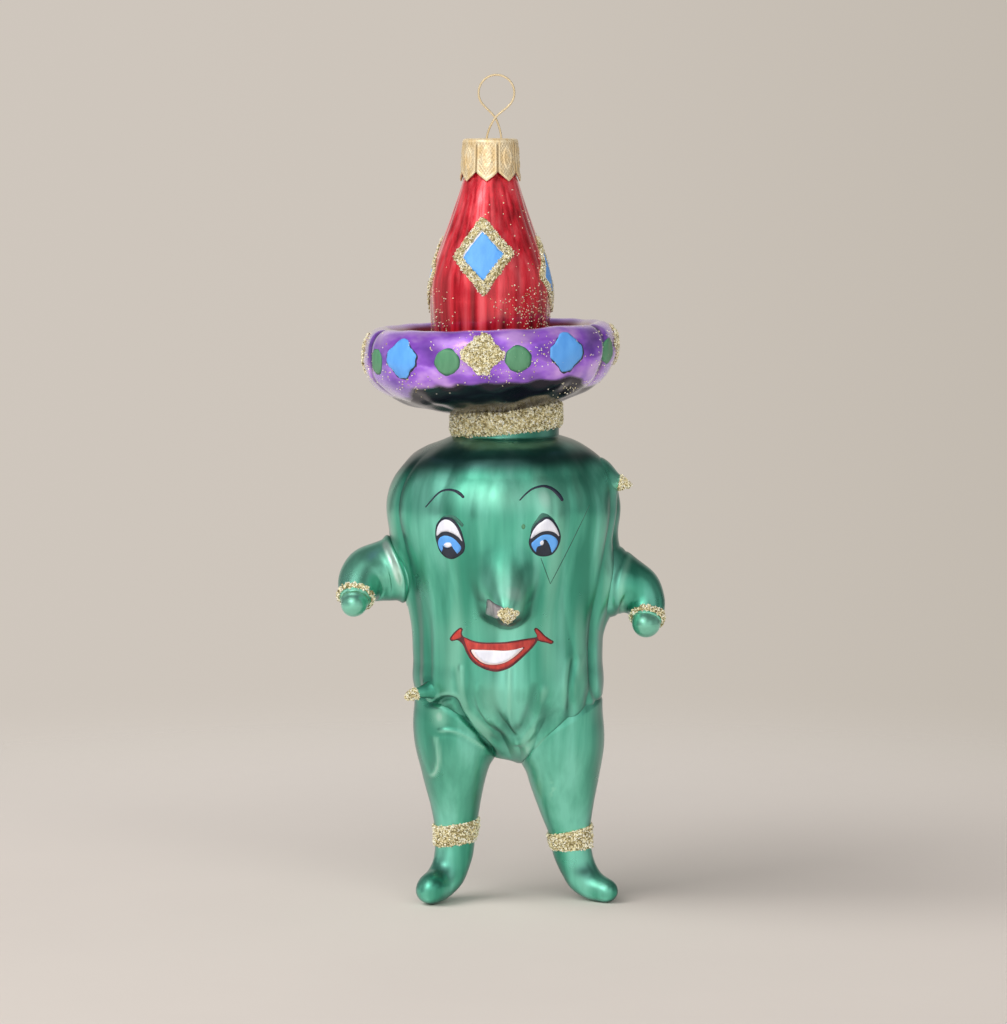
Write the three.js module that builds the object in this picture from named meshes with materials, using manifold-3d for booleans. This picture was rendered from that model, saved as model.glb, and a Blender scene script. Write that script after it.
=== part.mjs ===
// A hanging ornament of blown glass: a ribbed cactus figure with arms, legs and thorns drawn from glass tube,
// an upturned sombrero, a pressed metal cap with a sprung wire hanger, and trim of glitter and enamel.
// Millimetres, +Z up, the figure faces -Y and stands on its two soles at z = 0.
import * as THREE from 'three';
import { mergeVertices } from 'three/addons/utils/BufferGeometryUtils.js';
import Module from 'manifold-3d';

const wasm = await Module();
wasm.setup();

const { clamp, degToRad, lerp, smoothstep } = THREE.MathUtils;

// Glass, the layers on it and the clearances between pieces.
const glassWall = 1.1;
const fuseGap = 0.3; // between two pieces of glass that are melted together
const coatGap = 0.3; // between the glass and what is laid on it
const paintGap = 0.3; // between two colours of enamel
const enamelThickness = 0.3;
const glitterThickness = 0.7;

// Body, from the floor up.
const crotchHeight = 30.5;
const bodyHeight = 70.9; // crotch to the foot of the neck
const bodyWidth = 49.9;
const bodyDepth = 43;
const neckRadius = 11.3;
const neckHeight = 7;
const ribCount = 20;
const ribDepth = 0.32;

// Nose, drawn out of the body's front.
const noseX = 0.4;
const noseLength = 8.6;
const noseRadius = 6.4;
const noseTipRadius = 1.8;

// Sombrero brim, a hollow dish that stands off the neck to one side and leans.
const hatOffset = -2.8;
const brimDiameter = 54.2;
const brimHeight = 18;
const brimDish = 4.9; // rim down to the crown's foot
const brimLean = degToRad(3);
const brimBore = 9.8; // radius of the passage through the brim
const neckReach = 1.3; // height that the neck reaches up into the brim

// Sombrero crown, with the spout that the cap sits on.
const crownDiameter = 26.2;
const crownHeight = 36.6; // crown's foot to its shoulder
const crownRibCount = 24;
const crownRibDepth = 0.28;
const spoutRadius = 5.4;
const spoutLength = 7.3;

// Cap and its hanger wire.
const capClearance = 0.5;
const capSheet = 0.35;
const capHeight = 7; // top down to the notches between the petals
const capTurn = degToRad(-7);
const petalCount = 8;
const petalLength = 2.1;
const petalFlare = 0.7;
const petalGroove = 0.15;
const wireDiameter = 0.7;
const wireClearance = 0.3; // between the wire and the cap's holes
const eyeletRadius = 3.8; // centreline of the hanger's eye
const eyeletHeight = 9.6; // cap's top to the middle of the eye
const eyeletShift = 1.3; // the eye and the legs stand to one side of the cap's middle
const legShift = 0.8;
const legSpacing = 2.9;
const legLength = 19; // below the cap's top
const legStraight = 5.2; // part of the leg that slides in the cap's hole
const legSpread = 3.4; // from the spout's axis to each leg's end
const crossingHeight = 4.3; // cap's top to where the wire crosses itself
const crossingGap = 0.45;

// Limbs and thorns.
const armRadius = 6.8;
const handRadius = 3.1;
const thighRadius = 9.5;
const ankleRadius = 4.3;
const toeRadius = 3.7;
const soleDepth = 0.55; // ground flat off the rounded feet
const thornRadius = 2;
const thornTipRadius = 0.8;

// Marks painted and glued on.
const crownTurn = degToRad(-8);
const crownMarkHeights = [19.8, 15.6, 19.8, 15.6]; // above the crown's foot, from the front round to the left
const frameWidth = 12.8; // glitter frame round each lozenge of the crown
const frameHeight = 16.8;
const lozengeWidth = 8.6;
const lozengeHeight = 10.4;
const brimTurn = degToRad(-3.5);
// Where each mark was put by hand: degrees round the brim from the diamond in front.
const brimMarkTurns = [0, 16, 40, 72, 90, 106, 130, 152, 180, 196, 220, 242, 270, 301, 320, 344];
const diamondRise = 13; // marks' middles above the brim's foot
const dotRise = 11.8;
const lozengeRise = 12.5;
const diamondSize = 9.6;
const dotDiameter = 5.3;
const brimLozengeWidth = 9.6;
const brimLozengeHeight = 8.8;
const faceX = -1.4;
const eyeWidth = 6.9;
const eyeHeight = 9.3;
const eyeSpacing = 19.9;
const eyeLine = 0.55;
const mouthX = -0.5;
const mouthWidth = 20.8;
const mouthHeight = 6.6;

// Heights that follow from the stack.
const neckFoot = crotchHeight + bodyHeight;
const brimFoot = neckFoot + neckHeight - neckReach;
const crownFoot = brimFoot + brimHeight - brimDish;
const crownShoulder = crownFoot + crownHeight;
const spoutTop = crownShoulder + spoutLength;
const capTop = spoutTop + fuseGap + capSheet;

const TURN = 2 * Math.PI;
const v2 = (x, y) => new THREE.Vector2(x, y);
const v3 = (x, y, z) => new THREE.Vector3(x, y, z);
const X = v3(1, 0, 0);
const Y = v3(0, 1, 0);

const finishes = {
  green: { color: 0x3d9c74, roughness: 0.35, metalness: 0.6 },
  purple: { color: 0x7a35c4, roughness: 0.12, metalness: 0.6 },
  red: { color: 0xb3141f, roughness: 0.12, metalness: 0.6 },
  gold: { color: 0xd9b574, roughness: 0.3, metalness: 0.9 },
  glitter: { color: 0xc9b26a, roughness: 0.4, metalness: 0.7 },
  blue: { color: 0x5fa8ea, roughness: 0.45, metalness: 0 },
  leaf: { color: 0x4d9464, roughness: 0.45, metalness: 0 },
  white: { color: 0xf2f0f4, roughness: 0.4, metalness: 0 },
  ink: { color: 0x141a2c, roughness: 0.35, metalness: 0 },
  lips: { color: 0xc43a34, roughness: 0.35, metalness: 0 },
};

const figure = new THREE.Group();

function addPiece(name, geometry, finish) {
  const mesh = new THREE.Mesh(geometry, new THREE.MeshStandardMaterial(finishes[finish]));
  mesh.name = name;
  figure.add(mesh);
}

// Surfaces made of rings. A ring is a list of points, and a ring of one point is a pole.

// The closed surface through a stack of rings: from pole to pole or, when looped, from the last ring to the first.
function skinGeometry(rings, looped = false) {
  const starts = [];
  const positions = [];
  for (const ring of rings) {
    starts.push(positions.length / 3);
    for (const p of ring) positions.push(p.x, p.y, p.z);
  }
  const index = [];
  const stretches = looped ? rings.length : rings.length - 1;
  for (let row = 0; row < stretches; row++) {
    const next = (row + 1) % rings.length;
    const low = (i) => starts[row] + (i % rings[row].length);
    const high = (i) => starts[next] + (i % rings[next].length);
    for (let i = 0; i < Math.max(rings[row].length, rings[next].length); i++) {
      if (rings[row].length > 1) index.push(low(i), low(i + 1), high(i + 1));
      if (rings[next].length > 1) index.push(low(i), high(i + 1), high(i));
    }
  }
  const geometry = new THREE.BufferGeometry();
  geometry.setAttribute('position', new THREE.Float32BufferAttribute(positions, 3));
  geometry.setIndex(index);
  return geometry;
}

const middleOf = (ring) => ring.reduce((sum, p) => sum.add(p), v3(0, 0, 0)).divideScalar(ring.length);
const raised = (ring, rise) => ring.map((p) => v3(p.x, p.y, p.z + rise));

// The stack closed by a pole at each end that has none, drawn out first along Z where asked.
function closedRings(rings, below = 0, above = 0) {
  const stack = [...rings];
  if (below) stack.unshift(raised(rings[0], -below));
  if (above) stack.push(raised(rings.at(-1), above));
  if (stack[0].length > 1) stack.unshift([middleOf(stack[0])]);
  return [...stack, [middleOf(stack.at(-1))]];
}

// The same rings moved along the surface's own normals.
function offsetRings(rings, distance) {
  const at = (row, i) => {
    const ring = rings[clamp(row, 0, rings.length - 1)];
    return ring[(i + ring.length) % ring.length];
  };
  return rings.map((ring, row) => ring.map((p, i) => {
    if (ring.length === 1) {
      const away = p.clone().sub(middleOf(rings[row === 0 ? 1 : row - 1]));
      return p.clone().addScaledVector(away.normalize(), distance);
    }
    const around = at(row, i + 1).clone().sub(at(row, i - 1));
    const along = at(row + 1, i).clone().sub(at(row - 1, i));
    return p.clone().addScaledVector(around.cross(along).normalize(), distance);
  }));
}

// A layer laid on a stretch of a ringed surface: a sleeve, or a cup where the stretch ends in a pole.
function coatGeometry(rings, thickness) {
  const inner = offsetRings(rings, coatGap);
  const outer = offsetRings(rings, coatGap + thickness);
  return skinGeometry([...inner.reverse(), ...outer], rings.at(-1).length > 1);
}

function roundRing(centre, side, up, radius, sides) {
  return Array.from({ length: sides }, (_, i) => {
    const angle = (TURN * i) / sides;
    const reach = side.clone().multiplyScalar(radius * Math.cos(angle));
    return reach.addScaledVector(up, radius * Math.sin(angle)).add(centre);
  });
}

// Rings along a bent, tapering rod with a round tip. Each station is a centre and the radius there.
const rodStation = (x, y, z, radius) => ({ at: v3(x, y, z), radius });

function rodRings(stations, sides, rows) {
  const spine = new THREE.CatmullRomCurve3(stations.map((s) => s.at));
  const taper = new THREE.SplineCurve(stations.map((s, i) => v2(i, s.radius)));
  const rings = [[spine.getPoint(0)]];
  let tangent = spine.getTangent(0);
  const side = Y.clone().cross(tangent).normalize();
  for (let row = 0; row <= rows; row++) {
    const heading = spine.getTangent(row / rows);
    side.applyQuaternion(new THREE.Quaternion().setFromUnitVectors(tangent, heading));
    tangent = heading;
    const up = tangent.clone().cross(side);
    rings.push(roundRing(spine.getPoint(row / rows), side, up, taper.getPoint(row / rows).y, sides));
  }
  const end = stations.at(-1);
  const up = tangent.clone().cross(side);
  for (const angle of [degToRad(30), degToRad(58)]) {
    const centre = end.at.clone().addScaledVector(tangent, end.radius * Math.sin(angle));
    rings.push(roundRing(centre, side, up, end.radius * Math.cos(angle), sides));
  }
  rings.push([end.at.clone().addScaledVector(tangent, end.radius)]);
  return rings;
}

// Solids for cutting and joining.

function solidOf(geometry) {
  const bare = geometry.clone();
  bare.deleteAttribute('normal');
  bare.deleteAttribute('uv');
  const merged = mergeVertices(bare, 1e-4);
  return new wasm.Manifold(new wasm.Mesh({
    numProp: 3,
    vertProperties: new Float32Array(merged.attributes.position.array),
    triVerts: new Uint32Array(merged.index.array),
  }));
}

const ringSolid = (rings) => solidOf(skinGeometry(rings));

function geometryOf(solid) {
  const mesh = solid.getMesh();
  const geometry = new THREE.BufferGeometry();
  geometry.setAttribute('position', new THREE.BufferAttribute(new Float32Array(mesh.vertProperties), 3));
  geometry.setIndex(new THREE.BufferAttribute(new Uint32Array(mesh.triVerts), 1));
  return geometry;
}

const largestOf = (solid) => solid.decompose().sort((a, b) => b.volume() - a.volume())[0];

// The layer of a given thickness laid over an envelope, which is a solid as a function of its growth.
const layerOver = (envelope, thickness) => envelope(coatGap + thickness).subtract(envelope(coatGap));

// The body. Outline points are shares of the height and of the half width, with the sideways sway in millimetres.
const bodyOutline = [
  [0, 0, 3], [0.02, 0.18, 3.2], [0.05, 0.32, 3.4], [0.1, 0.47, 3.2], [0.16, 0.66, 2.2], [0.24, 0.815, 1.1],
  [0.33, 0.825, 1], [0.43, 0.835, 1], [0.55, 0.885, 0.6], [0.67, 0.955, 0], [0.79, 1, -0.1], [0.87, 0.945, -0.1],
  [0.93, 0.835, 0.15], [0.962, 0.73, 0.3], [0.986, 0.59, 0.6],
].map(([height, width, sway]) => v3(sway, (width * bodyWidth) / 2, crotchHeight + height * bodyHeight));
const neckX = 0.6;
const bodyCurve = new THREE.CatmullRomCurve3([...bodyOutline, v3(neckX, neckRadius, neckFoot)]);
const depthShare = (z) => lerp(bodyDepth / bodyWidth, 1, smoothstep(z, neckFoot - 8, neckFoot));

function bodyRings(sides, rows, depthOfRibs) {
  const stations = [...bodyCurve.getSpacedPoints(rows), v3(neckX, neckRadius, neckFoot + neckHeight)];
  return stations.map(({ x: sway, y: halfWidth, z }, row) => {
    if (row === 0) return [v3(sway, 0, z)];
    const onRibs = smoothstep(halfWidth, 3, neckRadius) * smoothstep(neckFoot - z, 0, 8);
    return Array.from({ length: sides }, (_, i) => {
      const angle = (TURN * i) / sides;
      const reach = halfWidth + depthOfRibs * onRibs * Math.cos(ribCount * angle);
      return v3(sway + reach * Math.cos(angle), depthShare(z) * reach * Math.sin(angle), z);
    });
  });
}

const bodySkin = bodyRings(ribCount * 2, 19, ribDepth);
const bodyEnvelope = (grow) => ringSolid(closedRings(offsetRings(bodySkin, grow)));
const bodyCavityRings = offsetRings(bodyRings(20, 11, 0), -glassWall - ribDepth / 2);
const bodyCavity = ringSolid(closedRings(bodyCavityRings, 0, 2 * glassWall));

// The nose stands on the front of the body's wall.
const noseZ = crotchHeight + 0.59 * bodyHeight;
const noseY = -0.885 * (bodyDepth / 2);
const noseRows = 6;
const noseRings = rodRings([
  rodStation(noseX, noseY + noseRadius, noseZ + 1.5, noseRadius),
  rodStation(noseX, noseY + 1.5, noseZ + 0.6, noseRadius),
  rodStation(noseX, noseY - noseLength * 0.38, noseZ - 1.4, noseRadius * 0.76),
  rodStation(noseX, noseY - noseLength + noseTipRadius, noseZ - 4.6, noseTipRadius),
], 12, noseRows);

// The brim. Outline points are shares of the radius and of the height, then of the radius and of the dish's depth.
const brimRadius = brimDiameter / 2;
const brimOutline = [
  ...[
    [0.44, 0], [0.57, 0.065], [0.755, 0.175], [0.895, 0.315], [0.965, 0.44], [0.995, 0.57], [1, 0.7],
    [0.985, 0.85], [0.935, 0.965], [0.87, 1],
  ].map(([radius, height]) => v2(radius * brimRadius, height * brimHeight)),
  ...[[0.8, 0.17], [0.7, 0.63], [0.58, 0.93]]
    .map(([radius, fall]) => v2(radius * brimRadius, brimHeight - fall * brimDish)),
  v2(brimBore, brimHeight - brimDish),
];
const leanAt = (x) => (x - hatOffset) * Math.tan(brimLean);

function brimRings(sides) {
  return brimOutline.map(({ x: radius, y: height }) => {
    const shift = lerp(hatOffset / 2.4, hatOffset, smoothstep(height, 0, brimHeight / 2));
    const ring = roundRing(v3(shift, 0, brimFoot + height), X, Y, radius, sides);
    return ring.map((p) => v3(p.x, p.y, p.z + leanAt(p.x)));
  });
}

const brimSkin = brimRings(36);
const brimEnvelope = (grow) => ringSolid(closedRings(offsetRings(brimSkin, grow)));
const passage = 3 * glassWall;
const brimCavity = ringSolid(closedRings(offsetRings(brimRings(18), -glassWall), passage, passage));
const brimGrown = brimEnvelope(fuseGap);
addPiece('hat_brim', geometryOf(brimEnvelope(0).subtract(brimCavity)), 'purple');

// The crown, upright on the brim. Outline points are shares of the radius and of the height.
const crownCurve = new THREE.SplineCurve([
  [0.955, -0.05], [0.965, 0.1], [0.985, 0.24], [0.995, 0.36], [0.945, 0.46], [0.83, 0.58], [0.655, 0.75],
  [0.52, 0.89], [0.455, 0.97],
].map(([radius, height]) => v2((radius * crownDiameter) / 2, crownFoot + height * crownHeight)));

function crownRings(sides, rows, depthOfRibs) {
  const stations = [...crownCurve.getPoints(rows), v2(spoutRadius, crownShoulder + 0.4), v2(spoutRadius, spoutTop)];
  return stations.map(({ x: radius, y: z }) => {
    const onRibs = smoothstep(crownShoulder - z, 0, 6);
    return Array.from({ length: sides }, (_, i) => {
      const angle = (TURN * i) / sides;
      const reach = radius + depthOfRibs * onRibs * Math.cos(crownRibCount * angle);
      return v3(hatOffset + reach * Math.cos(angle), reach * Math.sin(angle), z);
    });
  });
}

const crownSkin = crownRings(crownRibCount * 2, 8, crownRibDepth);
const crownEnvelope = (grow) => ringSolid(closedRings(offsetRings(crownSkin, grow)));
const crownCavityRings = offsetRings(crownRings(18, 7, 0), -glassWall - crownRibDepth / 2);
const crownCavity = ringSolid(closedRings(crownCavityRings, passage, passage));
const crown = crownEnvelope(0).subtract(crownCavity).subtract(brimGrown);
addPiece('hat_crown', geometryOf(largestOf(crown)), 'red');

// Arms, legs and thorns, whose open ends are melted onto the body. Their places hang on the body's own size.
const waist = bodyWidth / 2;
const hip = bodyWidth * 0.21;
const shoulderZ = crotchHeight + 0.592 * bodyHeight;
const hipZ = crotchHeight + 0.24 * bodyHeight;
const ankleZ = crotchHeight * 0.48;
const standingZ = (radius) => radius - soleDepth;

const limbs = {
  left_arm: [
    rodStation(-waist + 9, 0, shoulderZ, armRadius * 0.96),
    rodStation(-waist + 2.5, -0.4, shoulderZ + 0.2, armRadius),
    rodStation(-waist - 2.2, -1.4, shoulderZ - 0.5, armRadius * 0.94),
    rodStation(-waist - 5.2, -4, shoulderZ - 2, armRadius * 0.78),
    rodStation(-waist - 6.3, -7.2, shoulderZ - 4.2, armRadius * 0.57),
    rodStation(-waist - 6.7, -9.8, shoulderZ - 6.4, handRadius),
  ],
  right_arm: [
    rodStation(waist - 9, 0, shoulderZ - 2.2, armRadius * 0.92),
    rodStation(waist - 2, -0.3, shoulderZ - 2.6, armRadius),
    rodStation(waist + 3, -1, shoulderZ - 4.2, armRadius * 0.87),
    rodStation(waist + 5.4, -2.7, shoulderZ - 6.9, armRadius * 0.65),
    rodStation(waist + 5.8, -5, shoulderZ - 9.6, armRadius * 0.49),
    rodStation(waist + 5.6, -6.4, shoulderZ - 11, handRadius),
  ],
  left_leg: [
    rodStation(-hip + 2, -0.5, hipZ + 1, thighRadius * 0.92),
    rodStation(-hip + 0.7, -0.8, hipZ - 6, thighRadius),
    rodStation(-hip + 0.1, -0.6, hipZ - 12.5, thighRadius * 0.94),
    rodStation(-hip - 0.1, 0.2, hipZ - 19.5, thighRadius * 0.745),
    rodStation(-hip, 1.2, ankleZ + 5.9, ankleRadius * 1.24),
    rodStation(-hip - 0.1, 1.8, ankleZ, ankleRadius * 1.02),
    rodStation(-hip - 0.9, 1.7, ankleZ * 0.62, ankleRadius * 0.93),
    rodStation(-hip - 3.3, 0.2, standingZ(ankleRadius * 0.86), ankleRadius * 0.86),
    rodStation(-hip - 5.2, -4.2, standingZ(toeRadius * 0.97), toeRadius * 0.97),
  ],
  right_leg: [
    rodStation(hip + 0.5, -0.2, hipZ + 1, thighRadius * 0.88),
    rodStation(hip + 1.5, -0.4, hipZ - 6, thighRadius * 0.97),
    rodStation(hip + 2.2, -0.2, hipZ - 12.5, thighRadius * 0.96),
    rodStation(hip + 2.6, 0.5, hipZ - 19.5, thighRadius * 0.83),
    rodStation(hip + 3.2, 1.3, ankleZ + 5.9, ankleRadius * 1.4),
    rodStation(hip + 4, 2, ankleZ, ankleRadius * 1.06),
    rodStation(hip + 5.2, 2, ankleZ * 0.6, ankleRadius * 0.95),
    rodStation(hip + 8, 1.2, standingZ(ankleRadius * 0.87), ankleRadius * 0.87),
    rodStation(hip + 12.2, -1.8, standingZ(toeRadius * 0.76), toeRadius * 0.76),
  ],
};
const thorns = {
  upper_thorn: [
    rodStation(waist * 0.7, -3.5, neckFoot - 9, thornRadius * 1.8),
    rodStation(waist * 0.86, -4.5, neckFoot - 9.2, thornRadius * 1.6),
    rodStation(waist * 0.97, -5, neckFoot - 9.8, thornRadius * 0.9),
    rodStation(waist * 1.04, -5.2, neckFoot - 10.6, thornTipRadius),
  ],
  lower_thorn: [
    rodStation(-waist * 0.52, -8, hipZ + 0.3, thornRadius * 1.1),
    rodStation(-waist * 0.66, -10.4, hipZ + 0.1, thornRadius * 0.9),
    rodStation(-waist * 0.74, -11.6, hipZ - 0.3, thornRadius * 0.7),
    rodStation(-waist * 0.79, -12.4, hipZ - 0.8, thornTipRadius),
  ],
};

const limbRows = 12;
const thornRows = 5;
const rods = { nose: noseRings };
const floorCut = solidOf(new THREE.BoxGeometry(9 * bodyWidth, 9 * bodyWidth, 20).translate(0, 0, -10));
const bodyGrown = bodyEnvelope(fuseGap);
let body = bodyEnvelope(0).add(ringSolid(noseRings)).subtract(bodyCavity).subtract(brimGrown);

for (const [name, stations] of Object.entries(limbs)) {
  rods[name] = rodRings(stations, 12, limbRows);
  const cavity = ringSolid(offsetRings(rodRings(stations, 8, 7), -glassWall));
  const limb = ringSolid(rods[name]).subtract(cavity).subtract(bodyGrown).subtract(floorCut);
  addPiece(name, geometryOf(largestOf(limb)), 'green');
  body = body.subtract(cavity);
}
for (const [name, stations] of Object.entries(thorns)) {
  rods[name] = rodRings(stations, 8, thornRows);
  addPiece(name, geometryOf(largestOf(ringSolid(rods[name]).subtract(bodyGrown))), 'green');
}
addPiece('body', geometryOf(largestOf(body)), 'green');

// Glitter on the rods: the first and last ring that it covers. The last ring of a rod is the pole of its tip.
const tipRing = (rows) => rows + 4;
const glitterStretches = {
  left_wrist: ['left_arm', 10, 11],
  right_wrist: ['right_arm', 10, 11],
  left_ankle: ['left_leg', 8, 9],
  right_ankle: ['right_leg', 8, 9],
  upper_thorn: ['upper_thorn', 5, tipRing(thornRows)],
  lower_thorn: ['lower_thorn', 5, tipRing(thornRows)],
  nose: ['nose', 6, tipRing(noseRows)],
};
for (const [name, [rod, first, last]] of Object.entries(glitterStretches)) {
  addPiece(`${name}_glitter`, coatGeometry(rods[rod].slice(first, last + 1), glitterThickness), 'glitter');
}

// The band of glitter round the neck leans with the brim, which it ends under.
const neckRings = [neckFoot + neckRadius * Math.tan(brimLean), brimFoot - fuseGap].map((z) => {
  const ring = roundRing(v3(neckX, 0, z), X, Y, neckRadius, 32);
  return ring.map((p) => v3(p.x, p.y, p.z + leanAt(p.x)));
});
addPiece('neck_glitter', coatGeometry(neckRings, glitterThickness), 'glitter');

// Marks. A shape drawn as seen from the front becomes a prism that reaches forward from the XZ plane.
function prismOf(shape, segments) {
  const depth = bodyWidth;
  return new THREE.ExtrudeGeometry(shape, { depth, bevelEnabled: false, curveSegments: segments }).rotateX(TURN / 4);
}

const rhombus = (width, height) => new THREE.Shape([
  v2(-width / 2, 0), v2(0, -height / 2), v2(width / 2, 0), v2(0, height / 2),
]);

function oval(width, height, y = 0) {
  const shape = new THREE.Shape();
  shape.absellipse(0, y, width / 2, height / 2, 0, TURN);
  return shape;
}

// A smooth closed outline through points given as shares of half the width and half the height.
function blob(points, width, height) {
  const [first, ...rest] = points.map(([x, y]) => v2((x * width) / 2, (y * height) / 2));
  const shape = new THREE.Shape();
  shape.moveTo(first.x, first.y);
  shape.splineThru([...rest, first]);
  return shape;
}

// The mark's prism stood at a height and turned round the hat's axis, starting clear of that axis.
function onHat(shape, angle, z, clear) {
  return solidOf(prismOf(shape, 5).translate(0, -clear, z).rotateZ(angle).translate(hatOffset, 0, 0));
}

const crownEnamel = layerOver(crownEnvelope, enamelThickness);
const crownGlitter = layerOver(crownEnvelope, glitterThickness);
for (const [i, rise] of crownMarkHeights.entries()) {
  const angle = crownTurn + (TURN * i) / crownMarkHeights.length;
  const z = crownFoot + rise;
  const frame = rhombus(frameWidth, frameHeight);
  frame.holes.push(rhombus(lozengeWidth + 2.4 * paintGap, lozengeHeight + 3.4 * paintGap));
  const lozenge = rhombus(lozengeWidth, lozengeHeight);
  addPiece(`crown_frame_${i + 1}`, geometryOf(crownGlitter.intersect(onHat(frame, angle, z, 1))), 'glitter');
  addPiece(`crown_lozenge_${i + 1}`, geometryOf(crownEnamel.intersect(onHat(lozenge, angle, z, 1))), 'blue');
}

const brimDot = { name: 'brim_dot', shape: oval(dotDiameter, dotDiameter), rise: dotRise, finish: 'leaf' };
const brimLozenge = rhombus(brimLozengeWidth, brimLozengeHeight);
const brimMarks = [
  { name: 'brim_diamond', shape: rhombus(diamondSize, diamondSize), rise: diamondRise, finish: 'glitter' },
  brimDot,
  { name: 'brim_lozenge', shape: brimLozenge, rise: lozengeRise, finish: 'blue' },
  brimDot,
];
const brimEnamel = layerOver(brimEnvelope, enamelThickness);
const brimGlitter = layerOver(brimEnvelope, glitterThickness);
for (const [i, turn] of brimMarkTurns.entries()) {
  const { name, shape, rise, finish } = brimMarks[i % brimMarks.length];
  const angle = brimTurn + degToRad(turn);
  const z = brimFoot + rise + leanAt(hatOffset + brimRadius * Math.sin(angle));
  const layer = finish === 'glitter' ? brimGlitter : brimEnamel;
  const mark = layer.intersect(onHat(shape, angle, z, brimRadius * 0.72));
  addPiece(`${name}_${String(i + 1).padStart(2, '0')}`, geometryOf(largestOf(mark)), finish);
}

// The face, painted on the body's front.
const faceLayer = layerOver(bodyEnvelope, enamelThickness);
const onFace = (shape, x, z, segments = 6) => solidOf(prismOf(shape, segments).translate(x, 0, z));
const paint = (name, solid, finish) => addPiece(name, geometryOf(faceLayer.intersect(solid)), finish);

const eyeZ = crotchHeight + 0.721 * bodyHeight;
const browZ = crotchHeight + 0.84 * bodyHeight;
const irisWidth = eyeWidth * 0.64;
const irisDrop = -eyeHeight * 0.19;
const pupilDrop = -eyeHeight * 0.24;
const browShape = blob([
  [-1, -0.9], [-0.35, 0.6], [0.35, 0.75], [0.97, -0.25], [0.33, 1.15], [-0.4, 1],
], eyeWidth * 1.25, eyeHeight * 0.4);

for (const [side, way] of [['left', -1], ['right', 1]]) {
  const x = faceX + (way * eyeSpacing) / 2;
  const lid = (shrink) => onFace(oval(eyeWidth - 2 * shrink, eyeHeight - 2 * shrink), x, eyeZ);
  const iris = (grow) => onFace(oval(irisWidth + 2 * grow, irisWidth + 2 * grow, irisDrop), x, eyeZ);
  const pupil = (grow) => onFace(oval(irisWidth / 2 + 2 * grow, irisWidth * 0.6 + 2 * grow, pupilDrop), x, eyeZ);
  const eyeball = lid(eyeLine + paintGap);
  paint(`${side}_eye_outline`, lid(0).subtract(lid(eyeLine)), 'ink');
  paint(`${side}_eye_white`, eyeball.subtract(iris(paintGap)), 'white');
  paint(`${side}_iris`, iris(0).intersect(eyeball).subtract(pupil(paintGap)), 'blue');
  paint(`${side}_pupil`, pupil(0).intersect(eyeball), 'ink');
  paint(`${side}_brow`, onFace(browShape, x - 0.7, browZ, 2), 'ink');
}

const mouthZ = crotchHeight + 0.364 * bodyHeight;
const lipShape = blob([
  [-1, 1.33], [-0.77, 1.03], [-0.38, 0.88], [0, 0.82], [0.38, 0.91], [0.77, 1.09], [1, 1], [0.79, 0.61],
  [0.63, -0.12], [0.35, -0.76], [0, -1], [-0.33, -0.82], [-0.6, -0.18], [-0.77, 0.58],
], mouthWidth, mouthHeight);
const toothOutline = [[-0.57, 0.3], [0, 0.18], [0.54, 0.36], [0.31, -0.39], [0, -0.64], [-0.31, -0.42]];
const toothShape = blob(toothOutline, mouthWidth, mouthHeight);
const toothGap = blob(toothOutline, mouthWidth + 6 * paintGap, mouthHeight + 6 * paintGap);
paint('lips', onFace(lipShape, mouthX, mouthZ, 2).subtract(onFace(toothGap, mouthX, mouthZ, 2)), 'lips');
paint('teeth', onFace(toothShape, mouthX, mouthZ, 2), 'white');

// The cap: a shallow cup of sheet metal whose skirt ends in petals, with two holes for the wire.
const petalSides = 4;

function capRings(thickness) {
  const top = capTop - capSheet + thickness;
  const radius = spoutRadius + capClearance + thickness;
  const skirtTop = 0.7 + capSheet - thickness;
  const ringAt = (reachAt, fallAt) => Array.from({ length: petalCount * petalSides }, (_, i) => {
    const angle = (TURN * (i + petalSides / 2)) / (petalCount * petalSides) + capTurn;
    const across = Math.abs(((i % petalSides) / petalSides) * 2 - 1);
    const reach = reachAt(across);
    return v3(hatOffset + reach * Math.cos(angle), reach * Math.sin(angle), capTop - fallAt(across));
  });
  const rings = [[v3(hatOffset, 0, top)], ringAt(() => radius - 0.6, () => capTop - top)];
  for (const share of [0, 0.6, 1]) {
    const reachAt = (across) => radius + petalFlare * share ** 3 - petalGroove * across ** 6;
    const fallAt = (across) => lerp(skirtTop, capHeight + petalLength * (1 - across) ** 0.8, share);
    rings.push(ringAt(reachAt, fallAt));
  }
  return rings;
}

const legX = (way) => hatOffset + legShift + (way * legSpacing) / 2;
let cap = ringSolid([...capRings(0), ...capRings(capSheet).reverse()]);
for (const way of [-1, 1]) {
  const holeRadius = wireDiameter / 2 + wireClearance;
  const drill = new THREE.CylinderGeometry(holeRadius, holeRadius, 3, 12).rotateX(TURN / 4);
  cap = cap.subtract(solidOf(drill.translate(legX(way), 0, capTop)));
}
addPiece('cap', geometryOf(cap), 'gold');

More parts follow.
